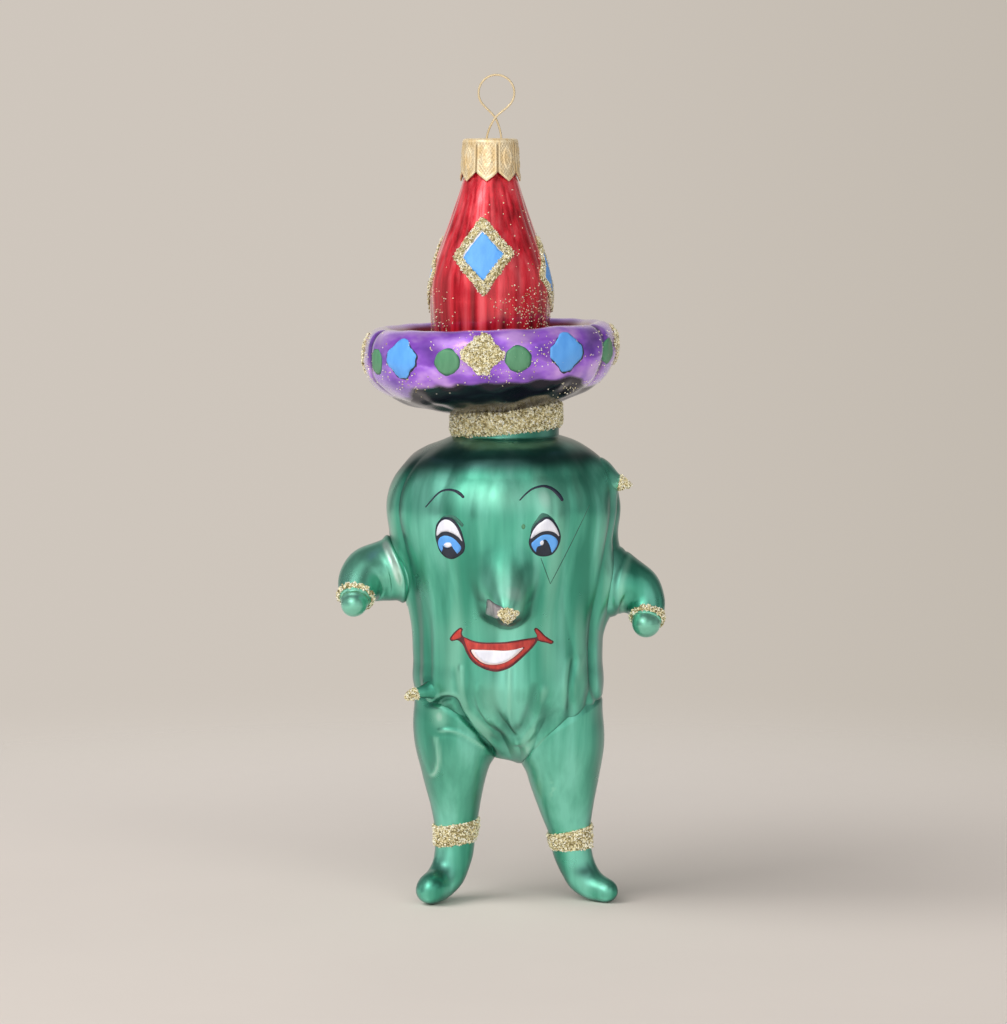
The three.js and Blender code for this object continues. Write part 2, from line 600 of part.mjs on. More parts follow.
// The hanger: one length of wire, up through a hole, round the eye, across itself and down through the other hole.
const crossingY = (wireDiameter + crossingGap) / 2;
const eyeletX = hatOffset + eyeletShift;
const crossingX = lerp(legX(0), eyeletX, 0.5);
const legPoints = (way) => [
  v3(hatOffset + way * legSpread, 0, capTop - legLength),
  v3(legX(way), 0, capTop - legStraight),
  v3(legX(way), 0, capTop - legStraight / 2),
  v3(legX(way), 0, capTop + wireDiameter),
  v3(crossingX, way * crossingY, capTop + crossingHeight),
];
const eyeletPoints = [];
const eyeletSteps = 14;
for (let step = 0; step <= eyeletSteps; step++) {
  const angle = degToRad(lerp(-50, 230, step / eyeletSteps));
  const y = crossingY * lerp(-1, 1, step / eyeletSteps);
  const rise = eyeletHeight + eyeletRadius * Math.sin(angle);
  eyeletPoints.push(v3(eyeletX + eyeletRadius * Math.cos(angle), y, capTop + rise));
}
const wireStations = [...legPoints(-1), ...eyeletPoints, ...legPoints(1).reverse()]
  .map((at) => ({ at, radius: wireDiameter / 2 }));
addPiece('hanger_wire', skinGeometry(rodRings(wireStations, 6, 56)), 'gold');

// The frame's origin is the middle of the figure's footprint, on the floor.
const bounds = new THREE.Box3().setFromObject(figure);
const centre = bounds.getCenter(v3(0, 0, 0));
for (const mesh of figure.children) mesh.geometry.translate(-centre.x, -centre.y, -bounds.min.z);

export default figure;
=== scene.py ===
import math

import bpy
import numpy as np
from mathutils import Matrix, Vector
from mathutils.bvhtree import BVHTree
from mathutils.geometry import delaunay_2d_cdt


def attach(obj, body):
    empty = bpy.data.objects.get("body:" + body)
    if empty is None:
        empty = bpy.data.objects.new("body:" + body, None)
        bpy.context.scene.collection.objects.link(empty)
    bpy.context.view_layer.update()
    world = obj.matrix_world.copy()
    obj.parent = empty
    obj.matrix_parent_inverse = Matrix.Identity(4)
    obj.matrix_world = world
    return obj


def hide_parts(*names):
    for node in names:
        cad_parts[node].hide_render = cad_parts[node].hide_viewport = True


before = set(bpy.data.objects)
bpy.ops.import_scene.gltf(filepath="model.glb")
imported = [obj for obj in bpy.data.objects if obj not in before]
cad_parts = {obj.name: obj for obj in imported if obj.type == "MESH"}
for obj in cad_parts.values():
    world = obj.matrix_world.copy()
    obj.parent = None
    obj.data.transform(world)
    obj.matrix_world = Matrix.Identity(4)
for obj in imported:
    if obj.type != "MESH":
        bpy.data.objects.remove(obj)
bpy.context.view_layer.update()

SHIFT = np.array([0.465, 0.24, 0.0])  # from the figure's own frame to the row frame
UP = np.array([0.0, 0.0, 1.0])
BACK = np.array([0.0, 1.0, 0.0])

NECK_X, NECK_RADIUS, NECK_FOOT = 0.6, 11.3, 101.4
CROTCH, BODY_HEIGHT, BODY_WIDTH, BODY_DEPTH = 30.5, 70.9, 49.9, 43.0
HAT_X, LEAN = -2.8, math.tan(math.radians(3))
BRIM_TURN, CROWN_TURN, CAP_TURN = math.radians(-3.5), math.radians(-8), math.radians(-7)
BRIM_FOOT, BRIM_HEIGHT, BRIM_RADIUS, BRIM_DISH = 107.1, 18.0, 27.1, 4.9
CROWN_FOOT, CROWN_HEIGHT, CROWN_RADIUS = 120.2, 36.6, 13.1
SPOUT_RADIUS, SPOUT_FOOT, SPOUT_TOP, CAP_TOP = 5.4, 157.2, 164.1, 164.75
WAIST, HIP = BODY_WIDTH / 2, BODY_WIDTH * 0.21
SHOULDER_Z, HIP_Z = CROTCH + 0.592 * BODY_HEIGHT, CROTCH + 0.24 * BODY_HEIGHT


def metres(points):
    return (np.asarray(points, float) + SHIFT) * 0.001


def smooth(values, low, high):
    t = np.clip((np.asarray(values, float) - low) / (high - low), 0, 1)
    return t * t * (3 - 2 * t)


def bump(values, width):
    return np.exp(-(np.asarray(values, float) / width) ** 2)


def waves(seed, points, pitch, terms=9):
    """A smooth random field from about -1 to 1. Pitch is the shortest wave along each axis."""
    rng = np.random.default_rng(seed)
    flat = points.reshape(-1, 3)
    total = 0
    for _ in range(terms):
        turn = rng.uniform(-1, 1, 3) * 2 * math.pi / np.asarray(pitch, float)
        total = total + np.sin(flat @ turn + rng.uniform(0, 2 * math.pi))
    return (total / math.sqrt(terms)).reshape(points.shape[:-1])


def turns(count):
    """Evenly spaced angles round a circle."""
    return np.linspace(0, 2 * math.pi, count, endpoint=False)


# Curves.

def catmull(points, steps=16, closed=False):
    """Points along the centripetal Catmull-Rom curve, `steps` to each stretch."""
    p = np.asarray(points, float)
    if closed:
        p = np.vstack([p[-1], p, p[0], p[1]])
    else:
        p = np.vstack([2 * p[0] - p[1], p, 2 * p[-1] - p[-2]])
    out = []
    for a, b, c, d in zip(p, p[1:], p[2:], p[3:]):
        lengths = [max(np.linalg.norm(v - u), 1e-9) ** 0.5 for u, v in ((a, b), (b, c), (c, d))]
        knots = np.cumsum([0, *lengths])
        t = np.linspace(knots[1], knots[2], steps, endpoint=False)[:, None]

        def mix(u, v, low, high):
            return (high - t) / (high - low) * u + (t - low) / (high - low) * v

        ab, bc, cd = mix(a, b, *knots[0:2]), mix(b, c, *knots[1:3]), mix(c, d, *knots[2:4])
        abc, bcd = mix(ab, bc, knots[0], knots[2]), mix(bc, cd, knots[1], knots[3])
        out.append(mix(abc, bcd, knots[1], knots[2]))
    if not closed:
        out.append(p[-2][None])
    return np.vstack(out)


def even(points, count):
    """The polyline resampled at evenly spaced points."""
    points = np.asarray(points, float)
    length = np.concatenate([[0], np.cumsum(np.linalg.norm(np.diff(points, axis=0), axis=1))])
    at = np.linspace(0, length[-1], count)
    return np.column_stack([np.interp(at, length, column) for column in points.T])


# Surfaces as grids of points: rows along the form, columns round it.

def unit(vectors):
    return vectors / np.maximum(np.linalg.norm(vectors, axis=-1, keepdims=True), 1e-12)


def normals_of(grid):
    around = np.roll(grid, -1, 1) - np.roll(grid, 1, 1)
    normals = unit(np.cross(around, np.gradient(grid, axis=0)))
    for pole, beside in ((0, 1), (-1, -2)):
        if np.ptp(grid[pole], axis=0).max() < 1e-6:
            normals[pole] = unit(normals[beside].mean(axis=0))
    return normals


def turned(profile, columns, centre):
    """A surface of revolution. Profile points are (radius, height)."""
    angle = turns(columns)
    reach, height = profile[:, :1], profile[:, 1:]
    x, y = centre[0] + reach * np.cos(angle), centre[1] + reach * np.sin(angle)
    return np.stack([x, y, height + 0 * angle], axis=-1), angle


def eased(rows, reach):
    """Rows averaged over their neighbours, so that a bend is taken over a longer way."""
    padded = np.vstack([np.repeat(rows[:1], reach, 0), rows, np.repeat(rows[-1:], reach, 0)])
    share = np.hanning(2 * reach + 3)[1:-1]
    return np.column_stack([np.convolve(column, share / share.sum(), "valid") for column in padded.T])


def tube(line, radii, columns, tip_rows=0, ease=0):
    """Rings round a bent line, turned as little as can be. Poles close both ends, one with a round tip if
    it has tip rows."""
    tangents = unit(eased(unit(np.gradient(line, axis=0)), ease))
    side = unit(np.cross(BACK, tangents[0]))
    angle = turns(columns)[:, None]
    rings = [np.tile(line[0], (columns, 1))]
    for centre, tangent, radius in zip(line, tangents, radii):
        side = unit(side - tangent * (side @ tangent))
        up = np.cross(tangent, side)
        rings.append(centre + radius * (np.cos(angle) * side + np.sin(angle) * up))
    for row in range(1, tip_rows):
        lift = row / tip_rows * math.pi / 2
        ring = np.cos(angle) * side + np.sin(angle) * up
        rings.append(centre + radius * (math.sin(lift) * tangent + math.cos(lift) * ring))
    rings.append(np.tile(centre + (radius if tip_rows else 0) * tangent, (columns, 1)))
    return np.array(rings)


def skin(grid):
    """(points, faces) of a grid whose first and last rows are poles."""
    rows, columns = grid.shape[:2]
    points = np.vstack([grid[0, :1], grid[1:-1].reshape(-1, 3), grid[-1, :1]])
    last = len(points) - 1
    index = np.arange((rows - 2) * columns).reshape(rows - 2, columns) + 1
    right = np.roll(index, -1, 1)
    faces = [(0, int(b), int(a)) for a, b in zip(index[0], right[0])]
    quads = np.stack([index[:-1], right[:-1], right[1:], index[1:]], axis=-1).reshape(-1, 4)
    faces += [tuple(q) for q in quads.tolist()]
    faces += [(int(a), int(b), last) for a, b in zip(index[-1], right[-1])]
    return points, faces


def per_point(field):
    """A field on a grid, in the order of skin's points."""
    return np.concatenate([field[0, :1], field[1:-1].ravel(), field[-1, :1]])


def sleeve(grid):
    """(points, faces) of a closed loop of rows, such as a band's inside and outside."""
    rows, columns = grid.shape[:2]
    index = np.arange(rows * columns).reshape(rows, columns)
    right, above = np.roll(index, -1, 1), np.roll(index, -1, 0)
    quads = np.stack([index, right, np.roll(right, -1, 0), above], axis=-1).reshape(-1, 4)
    return grid.reshape(-1, 3), [tuple(q) for q in quads.tolist()]


def tree_of(points, faces):
    return BVHTree.FromPolygons([Vector(p) for p in points], faces)


def gaps_to(tree, points, limit):
    """Distance from each point to the surface, or the limit where that is further."""
    found = (tree.find_nearest(Vector(p), limit)[3] for p in points.reshape(-1, 3))
    return np.array([limit if gap is None else gap for gap in found]).reshape(points.shape[:-1])


# Pieces.

def add_piece(name, points, faces, finish, slot, body="ornament", stands_for=(), fields=None, flat_from=None):
    """A piece in the row frame. Fields are values at its points that its material reads by name."""
    mesh = bpy.data.meshes.new(name)
    mesh.from_pydata(metres(points).tolist(), [], faces)
    for field, values in (fields or {}).items():
        mesh.attributes.new(field, "FLOAT", "POINT").data.foreach_set("value", np.asarray(values, np.float32))
    shading = np.ones(len(mesh.polygons), bool)
    if flat_from is not None:
        shading[flat_from:] = False
    mesh.polygons.foreach_set("use_smooth", shading)
    mesh.materials.append(finish)
    mesh.update()
    piece = bpy.data.objects.new(name, mesh)
    bpy.context.scene.collection.objects.link(piece)
    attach(piece, body)
    if stands_for:
        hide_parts(*stands_for)
    return piece


def add_grid(name, grid, finish, slot, stands_for, body="ornament", **fields):
    """A piece made of a grid's skin, with its fields given on the grid."""
    fields = {field: per_point(values) for field, values in fields.items()}
    return add_piece(name, *skin(grid), finish, slot, body, [stands_for], fields)


# Materials.

class Nodes:
    def __init__(self, tree):
        self.tree = tree
        tree.nodes.clear()

    def add(self, kind, inputs=(), **settings):
        node = self.tree.nodes.new(kind)
        for key, value in settings.items():
            setattr(node, key, value)
        for key, value in dict(inputs).items():
            self.put(node, key, value)
        return node

    def put(self, node, key, value):
        if isinstance(value, bpy.types.NodeSocket):
            self.tree.links.new(value, node.inputs[key])
        else:
            node.inputs[key].default_value = value

    def place(self, stretch=(1, 1, 1)):
        coordinates = self.add("ShaderNodeTexCoord").outputs["Object"]
        return self.add("ShaderNodeMapping", {"Vector": coordinates, "Scale": stretch}).outputs[0]

    def noise(self, scale, detail=3.0, stretch=(1, 1, 1), roughness=0.5):
        return self.add("ShaderNodeTexNoise", {
            "Vector": self.place(stretch), "Scale": scale, "Detail": detail,
            "Roughness": roughness}).outputs["Fac"]

    def cells(self, scale):
        cell = self.add("ShaderNodeTexVoronoi", {"Vector": self.place(), "Scale": scale})
        shade = self.add("ShaderNodeSeparateColor", {0: cell.outputs["Color"]}).outputs[0]
        return shade, cell.outputs["Distance"]

    def field(self, name):
        return self.add("ShaderNodeAttribute", attribute_name=name).outputs["Fac"]

    def edge(self):
        """1 where the surface is seen edge on, 0 where it is seen square on."""
        return self.add("ShaderNodeLayerWeight", {"Blend": 0.5}).outputs["Facing"]

    def along(self, vector, axis):
        return self.add("ShaderNodeSeparateXYZ", {0: vector}).outputs[axis]

    def range(self, value, low, high, to_low=0.0, to_high=1.0, ease="LINEAR"):
        return self.add("ShaderNodeMapRange", {
            "Value": value, "From Min": low, "From Max": high, "To Min": to_low, "To Max": to_high},
            interpolation_type=ease).outputs[0]

    def ramp(self, value, *stops):
        node = self.add("ShaderNodeValToRGB", {"Fac": value})
        elements = node.color_ramp.elements
        for at, _ in stops[2:]:
            elements.new(at)
        for element, (at, colour) in zip(elements, stops):
            element.position = at
            element.color = (*colour, 1)
        return node.outputs[0]

    def tones(self, value, deep, mid, pale):
        """Three tones over the middle range that a noise texture gives."""
        return self.ramp(value, (0.36, deep), (0.50, mid), (0.64, pale))

    def mix(self, share, a, b):
        node = self.add("ShaderNodeMix", {"Factor": share}, data_type="RGBA")
        self.put(node, 6, a if isinstance(a, bpy.types.NodeSocket) else (*a, 1))
        self.put(node, 7, b if isinstance(b, bpy.types.NodeSocket) else (*b, 1))
        return node.outputs[2]

    def maths(self, operation, a, b):
        return self.add("ShaderNodeMath", {0: a, 1: b}, operation=operation).outputs[0]

    def part(self, value, weight):
        return self.maths("MULTIPLY", value, weight)

    def relief(self, height, distance, strength):
        return self.add("ShaderNodeBump", {
            "Height": height, "Distance": distance, "Strength": strength}).outputs[0]

    def finish(self, **inputs):
        inputs = {key.replace("_", " "): value for key, value in inputs.items()}
        shader = self.add("ShaderNodeBsdfPrincipled", inputs)
        self.add("ShaderNodeOutputMaterial", {"Surface": shader.outputs[0]})


def material(name, recipe, **values):
    finish = bpy.data.materials.new(name)
    finish.use_nodes = True
    recipe(Nodes(finish.node_tree), **values)
    return finish


def satin_green(n):
    """Satin lacquer over silvered glass: soft streaks that run with the ribs, darker in the folds with
    painted shade and pooled lacquer, with painted shade at the silhouette, on the shoulders and under the
    nose, and painted highlights.
    """
    streaks = n.noise(190, 1.5, (1, 1, 0.08), 0.45)
    fine = n.noise(900, 3, (1, 1, 0.05))
    tone = n.maths("ADD", n.part(streaks, 0.85), n.part(fine, 0.15))
    colour = n.tones(tone, (0.055, 0.380, 0.260), (0.120, 0.570, 0.410), (0.250, 0.810, 0.640))
    # The nose field takes the painted dark edge off the nose.
    edge = n.maths("SUBTRACT", n.edge(), n.field("nose"))
    flecks = n.range(n.noise(2600, 2), 0.76, 0.81)
    # In turn: painted shade towards the silhouette, a painted pale reflection at the very edge, painted shade
    # and pooled lacquer in the folds, painted highlights, painted shade on the shoulders and under the nose,
    # and dark flecks in the lacquer.
    for share, tint in (
            (n.range(edge, 0.32, 0.84, 0, 0.75), (0.030, 0.110, 0.110)),
            (n.range(edge, 0.86, 0.97, 0, 0.7), (0.300, 0.450, 0.400)),
            (n.part(n.field("valley"), 0.8), (0.020, 0.190, 0.140)),
            (n.field("pale"), (0.380, 0.880, 0.690)),
            (n.range(n.field("pale"), 0.6, 1.0, 0, 0.6), (0.820, 0.980, 0.940)),
            (n.part(n.field("shade"), 0.9), (0.012, 0.050, 0.052)),
            (n.part(flecks, 0.15), (0.02, 0.12, 0.09))):
        colour = n.mix(share, colour, tint)
    n.finish(Base_Color=colour, Metallic=0.85, Roughness=n.range(n.noise(160, 3), 0.3, 0.7, 0.27, 0.36),
             Coat_Weight=0.35, Coat_Roughness=0.3, Normal=n.relief(n.noise(1500, 3), 0.00004, 0.35))


def bright_lacquer(n, deep, mid, pale, shade, hollow, rim, streak, stretch, coat=1.0):
    """Clear bright lacquer over silvered glass, thinner on the crests, with a painted reflection at the
    silhouette, painted shade where the valley field is set, and a painted reflection of the crown in the
    hollow.
    """
    streaks = n.noise(streak, 3, (1, 1, stretch), 0.55)
    clouds = n.noise(90, 2, (1, 1, min(1, 8 * stretch)))
    tone = n.maths("ADD", n.part(streaks, 0.85), n.part(clouds, 0.15))
    colour = n.tones(tone, deep, mid, pale)
    dish_reflection = n.mix(n.noise(300, 3), tuple(0.6 * c for c in hollow), hollow)
    # Painted reflection at the silhouette, painted shade, and the crown's painted reflection in the hollow.
    for share, tint in ((n.range(n.edge(), 0.4, 1.0, 0, 0.8), rim), (n.part(n.field("valley"), 0.93), shade),
                        (n.field("inner"), dish_reflection)):
        colour = n.mix(share, colour, tint)
    n.finish(Base_Color=colour, Metallic=0.45, Roughness=n.range(n.noise(240, 3), 0.3, 0.7, 0.15, 0.25),
             Coat_Weight=coat, Coat_Roughness=0.08, Normal=n.relief(n.noise(420, 3), 0.00006, 0.2))


def glitter(n):
    """Coarse pale gold glitter, each grain a tone of its own."""
    grain, edge = n.cells(2300)
    colour = n.ramp(grain, (0.0, (0.26, 0.20, 0.07)), (0.2, (0.76, 0.67, 0.38)),
                    (0.5, (1.0, 0.95, 0.68)), (1.0, (1.0, 1.0, 0.92)))
    n.finish(Base_Color=colour, Metallic=0.35, Roughness=n.range(grain, 0, 1, 0.42, 0.2),
             Normal=n.relief(edge, 0.00008, 0.5))


def gum(n):
    """The gum and fine dust that the grains of glitter sit in."""
    grain, edge = n.cells(3400)
    colour = n.ramp(grain, (0.0, (0.16, 0.13, 0.05)), (0.55, (0.42, 0.36, 0.17)), (1.0, (0.80, 0.72, 0.44)))
    n.finish(Base_Color=colour, Metallic=0.2, Roughness=0.55, Normal=n.relief(edge, 0.0001, 0.8))


def enamel(n, dark, light, roughness=0.42, scale=500):
    """Brushed-on enamel: slight brush strokes, pooled edges and a soft gloss."""
    strokes = n.noise(scale, 4, (1, 1, 0.3), 0.6)
    colour = n.ramp(strokes, (0.3, dark), (0.7, light))
    gloss = n.range(strokes, 0.3, 0.7, roughness + 0.06, roughness - 0.05)
    n.finish(Base_Color=colour, Roughness=gloss, Coat_Weight=0.15, Coat_Roughness=0.25,
             Normal=n.relief(strokes, 0.00003, 0.5))


def brass(n, dark, light, roughness=0.24, metal=1.0, grain=0.4):
    """Thin pressed brass: fine rolling marks, tarnish in the low places."""
    wear = n.noise(900, 4, (1, 1, 0.4))
    colour = n.ramp(wear, (0.34, dark), (0.62, light))
    colour = n.mix(n.part(n.field("valley"), 0.9), colour, tuple(0.4 * c for c in dark))
    n.finish(Base_Color=colour, Metallic=metal, Normal=n.relief(n.noise(5200, 2), 0.00003, grain),
             Roughness=n.range(wear, 0.3, 0.7, roughness + 0.08, roughness))


GREEN = material("green_lacquer", satin_green)
IN_SHADE = (0.008, 0.005, 0.018)
# The crown's red, painted into the brim's dish as its reflection.
CROWN_RED_REFLECTION = (0.32, 0.010, 0.03)
PURPLE = material(
    "purple_lacquer", bright_lacquer, deep=(0.17, 0.040, 0.52), mid=(0.38, 0.130, 0.84),
    pale=(0.70, 0.400, 1.0), shade=IN_SHADE, hollow=CROWN_RED_REFLECTION, rim=(0.62, 0.52, 0.96), streak=110,
    stretch=1.7)
# A darkened copy of the purple lacquer, as painted shade on the brim's lower faces.
SHADED_PURPLE = material(
    "purple_lacquer_painted_shade", bright_lacquer, deep=(0.006, 0.004, 0.016), mid=(0.012, 0.007, 0.026),
    pale=(0.050, 0.014, 0.070), shade=IN_SHADE, hollow=CROWN_RED_REFLECTION, rim=(0.05, 0.04, 0.10), streak=260,
    stretch=1.7, coat=0.15)
RED = material(
    "red_lacquer", bright_lacquer, deep=(0.40, 0.005, 0.014), mid=(0.84, 0.022, 0.045),
    pale=(1.0, 0.110, 0.140), shade=(0.13, 0.003, 0.008), hollow=(0.25, 0.01, 0.02), rim=(0.95, 0.42, 0.44),
    streak=520, stretch=0.025)
GLITTER = material("gold_glitter", glitter)
GUM = material("glitter_gum", gum)
BLUE = material("blue_enamel", enamel, dark=(0.085, 0.32, 0.82), light=(0.13, 0.42, 0.92))
LEAF = material("leaf_enamel", enamel, dark=(0.062, 0.225, 0.115), light=(0.11, 0.31, 0.175))
WHITE = material("white_enamel", enamel, dark=(0.70, 0.72, 0.84), light=(0.86, 0.87, 0.95))
TOOTH_EDGE = material("tooth_edge_enamel", enamel, dark=(0.88, 0.66, 0.66), light=(0.94, 0.80, 0.80))
INK = material("ink_enamel", enamel, dark=(0.006, 0.009, 0.022), light=(0.018, 0.026, 0.050), roughness=0.34)
SHADE = material("lid_shade_enamel", enamel, dark=(0.020, 0.085, 0.070), light=(0.045, 0.190, 0.140))
LIPS = material("lip_enamel", enamel, dark=(0.34, 0.018, 0.018), light=(0.62, 0.065, 0.048), scale=900)
LIP_LINE = material("lip_line_enamel", enamel, dark=(0.055, 0.010, 0.016), light=(0.16, 0.022, 0.030))
NOSE_PATCH_FINISH = material("nose_patch_grey", brass, dark=(0.42, 0.40, 0.46), light=(0.66, 0.63, 0.68), roughness=0.34)
CAP = material("cap_brass", brass, dark=(0.90, 0.66, 0.34), light=(0.98, 0.84, 0.58), metal=0.4)
WIRE = material("wire_brass", brass, dark=(0.74, 0.60, 0.37), light=(0.80, 0.66, 0.43), roughness=0.35,
                metal=0.5, grain=0.05)


# The body, with the nose drawn out of its front.

OUTLINE = [  # (share of the body's height, share of its half width, sway to +X)
    (0, 0, 3), (0.02, 0.18, 3.2), (0.05, 0.32, 3.4), (0.1, 0.47, 3.2), (0.16, 0.66, 2.2),
    (0.24, 0.815, 1.1), (0.33, 0.825, 1), (0.43, 0.835, 1), (0.55, 0.885, 0.6), (0.67, 0.955, 0),
    (0.79, 1, -0.1), (0.87, 0.94, -0.1), (0.93, 0.82, 0.15), (0.962, 0.7, 0.45), (0.985, 0.565, 1.0),
]
NECK_LENGTH = 6.8
BODY_ROWS, BODY_COLUMNS = 250, 400
NOSE_X, NOSE_WIDTH, NOSE_REACH = 0.5, 7.3, 8.6
NOSE_TIP, NOSE_FOOT = 67.4, 61.8


def body_grid():
    outline = [(sway, width * WAIST, CROTCH + height * BODY_HEIGHT) for height, width, sway in OUTLINE]
    profile = even(catmull([*outline, (NECK_X, NECK_RADIUS, NECK_FOOT)], 24), BODY_ROWS)
    neck = [(NECK_X, NECK_RADIUS, z) for z in np.linspace(NECK_FOOT, NECK_FOOT + NECK_LENGTH, 16)[1:]]
    sway, reach, height = (column[:, None] for column in np.vstack([profile, neck, [neck[-1]]]).T)
    reach[0] = reach[-1] = 0
    angle = turns(BODY_COLUMNS)
    flatness = BODY_DEPTH / BODY_WIDTH
    depth = flatness + (1 - flatness) * smooth(height, NECK_FOOT - 8, NECK_FOOT)
    x, y = sway + reach * np.cos(angle), depth * reach * np.sin(angle)
    return np.stack([x, y, height + 0 * angle], axis=-1), angle


def draw_nose(grid):
    """(grid, height) with the nose pulled out of the front: a soft bulb that swells slowly from the brows and
    ends in a round steep underside above the lips."""
    across = np.abs(grid[..., 0] - NOSE_X)
    level = grid[..., 2] - 0.07 * across ** 2 * smooth(-grid[..., 2], -76, -66)
    above = np.clip(level - NOSE_TIP, 0, None)
    below = np.clip((NOSE_TIP - level) / (NOSE_TIP - NOSE_FOOT), 0, 1)
    share = (0.85 * bump(above, 7) + 0.15 * bump(above, 13)) * (1 - below ** 2.2) ** 0.9
    width = NOSE_WIDTH + 0.3 * np.clip(grid[..., 2] - 68, 0, 20)
    height = NOSE_REACH * share * smooth(1 - across / width, 0, 0.95) * (grid[..., 1] < 0)
    return grid + height[..., None] * np.array([0, -1, -0.16]), height


def crease(points, line, width, depth, left=0.0, right=0.0):
    """A groove along a line drawn on the front, or a ridge where the depth is negative. A lip of the given
    height stands on its left and right hand, and all of it fades out towards both ends."""
    curve = even(catmull(line), 80)
    flat = points.reshape(-1, 3)
    low, high = curve.min(axis=0) - 5 * width, curve.max(axis=0) + 5 * width
    inside = (flat[:, ::2] > low).all(axis=1) & (flat[:, ::2] < high).all(axis=1) & (flat[:, 1] < 0)
    rise = np.zeros(len(flat))
    chosen = np.flatnonzero(inside)
    if len(chosen):
        away = flat[chosen][:, None, ::2] - curve[None]
        gaps = np.linalg.norm(away, axis=2)
        nearest = gaps.argmin(axis=1)
        ahead = unit(np.gradient(curve, axis=0))[nearest]
        away = away[np.arange(len(chosen)), nearest]
        across = gaps.min(axis=1) * np.sign(ahead[:, 0] * away[:, 1] - ahead[:, 1] * away[:, 0])
        place = nearest / (len(curve) - 1)
        fade = smooth(place, -0.02, 0.16) * smooth(1 - place, -0.02, 0.16)
        lips = left * bump(across - 2 * width, width) + right * bump(across + 2 * width, width)
        rise[chosen] = fade * (lips - depth * bump(across, width))
    return rise.reshape(points.shape[:2])


# Where the thighs were drawn out: (line, half width, depth, lip on its left hand, lip on its right hand).
FOLDS = [
    ([(-17.1, 44.4), (-14.7, 44.5), (-12.4, 46.0), (-10.6, 46.2), (-9.0, 43.2), (-7.2, 40.6), (-5.3, 38.2),
      (-3.4, 35.4), (-1.2, 32.2)], 0.62, 0.85, 0.32, 0.12),
    ([(-14.6, 38.5), (-12.0, 38.9), (-9.6, 38.4), (-6.0, 36.2), (-2.8, 34.0)], 0.45, -0.28, -0.1, -0.1),
    ([(-5.8, 50.5), (-5.2, 44.9), (-2.8, 39.8), (-0.4, 35.9)], 0.5, -0.28, -0.12, 0.0),
    ([(7.0, 50.5), (6.1, 45.9), (4.7, 41.0), (3.0, 37.5)], 0.9, 0.4, 0.3, 0.1),
    ([(15.1, 55.9), (14.2, 50.1), (14.0, 42.0)], 0.6, 0.4, 0.2, 0.15),
    ([(18.8, 57.9), (19.1, 49.3), (19.6, 43.0)], 0.5, 0.4, 0.1, 0.15),
    ([(1.2, 55.2), (1.2, 47.6), (1.4, 41.0), (2.6, 37.5)], 0.5, -0.25, -0.1, -0.1),
    ([(-9.0, 54.2), (-8.6, 48.4), (-7.6, 44.2)], 0.7, -0.3, -0.1, -0.2),
    ([(2.3, 37.5), (2.9, 35.0)], 0.6, -0.3),
    ([(2.9, 35.0), (6.8, 39.9)], 0.6, -0.3),
]
DROP = [(-14.6, 38.5), (-14.2, 36.0), (-13.9, 32.0), (-14.9, 28.9), (-16.7, 28.3)]


def glow(points, x, z, width, height):
    """1 at (x, z) on the front, and fading out over the width and height."""
    near = np.exp(-((points[..., 0] - x) / width) ** 2 - ((points[..., 2] - z) / height) ** 2)
    return near * (points[..., 1] < 0)


def glows(points, spots):
    """Glows added up. A spot is (strength, x, z, width, height)."""
    return sum(strength * glow(points, *spot) for strength, *spot in spots)


# Painted highlights, where the colour is paler.
THIGH_SPOT = (0.8, -13.6, 41.8, 1.5, 2.2)
BODY_SPOTS = [
    THIGH_SPOT, (0.5, 0.5, 71.5, 3.6, 4.0), (0.4, 2.0, 69.6, 1.8, 2.2), (0.42, 1.0, 89.8, 12.0, 3.0),
    (0.35, 3.5, 34.0, 3.0, 1.8), (0.3, -2.5, 46.0, 2.2, 5.0), (0.15, 0.0, 46.0, 11.0, 9.0),
    (0.2, 0.0, 62.0, 10.0, 3.5),
]
# A painted highlight on the right toe.
TOE_SPOT = (0.3, 20.3, 3.9, 3.4, 1.3)
# Pale specks on the right thigh.
RIGHT_THIGH_SPECKS = (0.5, 10.6, 25.5, 0.7, 2.4)
# Painted shade over the bend of each foot.
INSTEPS = {"left_leg": (0.85, -13.4, 6.9, 1.6, 1.8), "right_leg": (0.85, 17.6, 6.8, 2.4, 1.3)}


def ribs_on(grid, angle):
    """The body's soft irregular ribs: shallow over the face, deeper below it and at the sides."""
    ribs = np.abs(np.sin(0.5 * (16 * angle + 2.6 * waves(3, grid, (16, 16, 60)))))
    height = grid[..., 2]
    face = bump(grid[..., 0] + 1, 13) * bump(height - 78, 17) * (grid[..., 1] < 0)
    depth = 0.55 * (1 - 0.72 * face) * (0.75 + 0.35 * waves(5, grid, (9, 9, 40)))
    depth *= smooth(np.linalg.norm(grid[..., :2] - (2, 0), axis=2), 2, 9)
    depth *= smooth(NECK_FOOT - height, 0.5, 16)
    depth *= 1 + 0.5 * smooth(-height, -66, -56) * smooth(height, 32, 44)
    swell = 0.3 * waves(8, grid, (9, 9, 34)) * (1 - 0.5 * face)
    return depth * (ribs ** 1.1 - 0.7) + swell * smooth(NECK_FOOT - height, 0, 7)


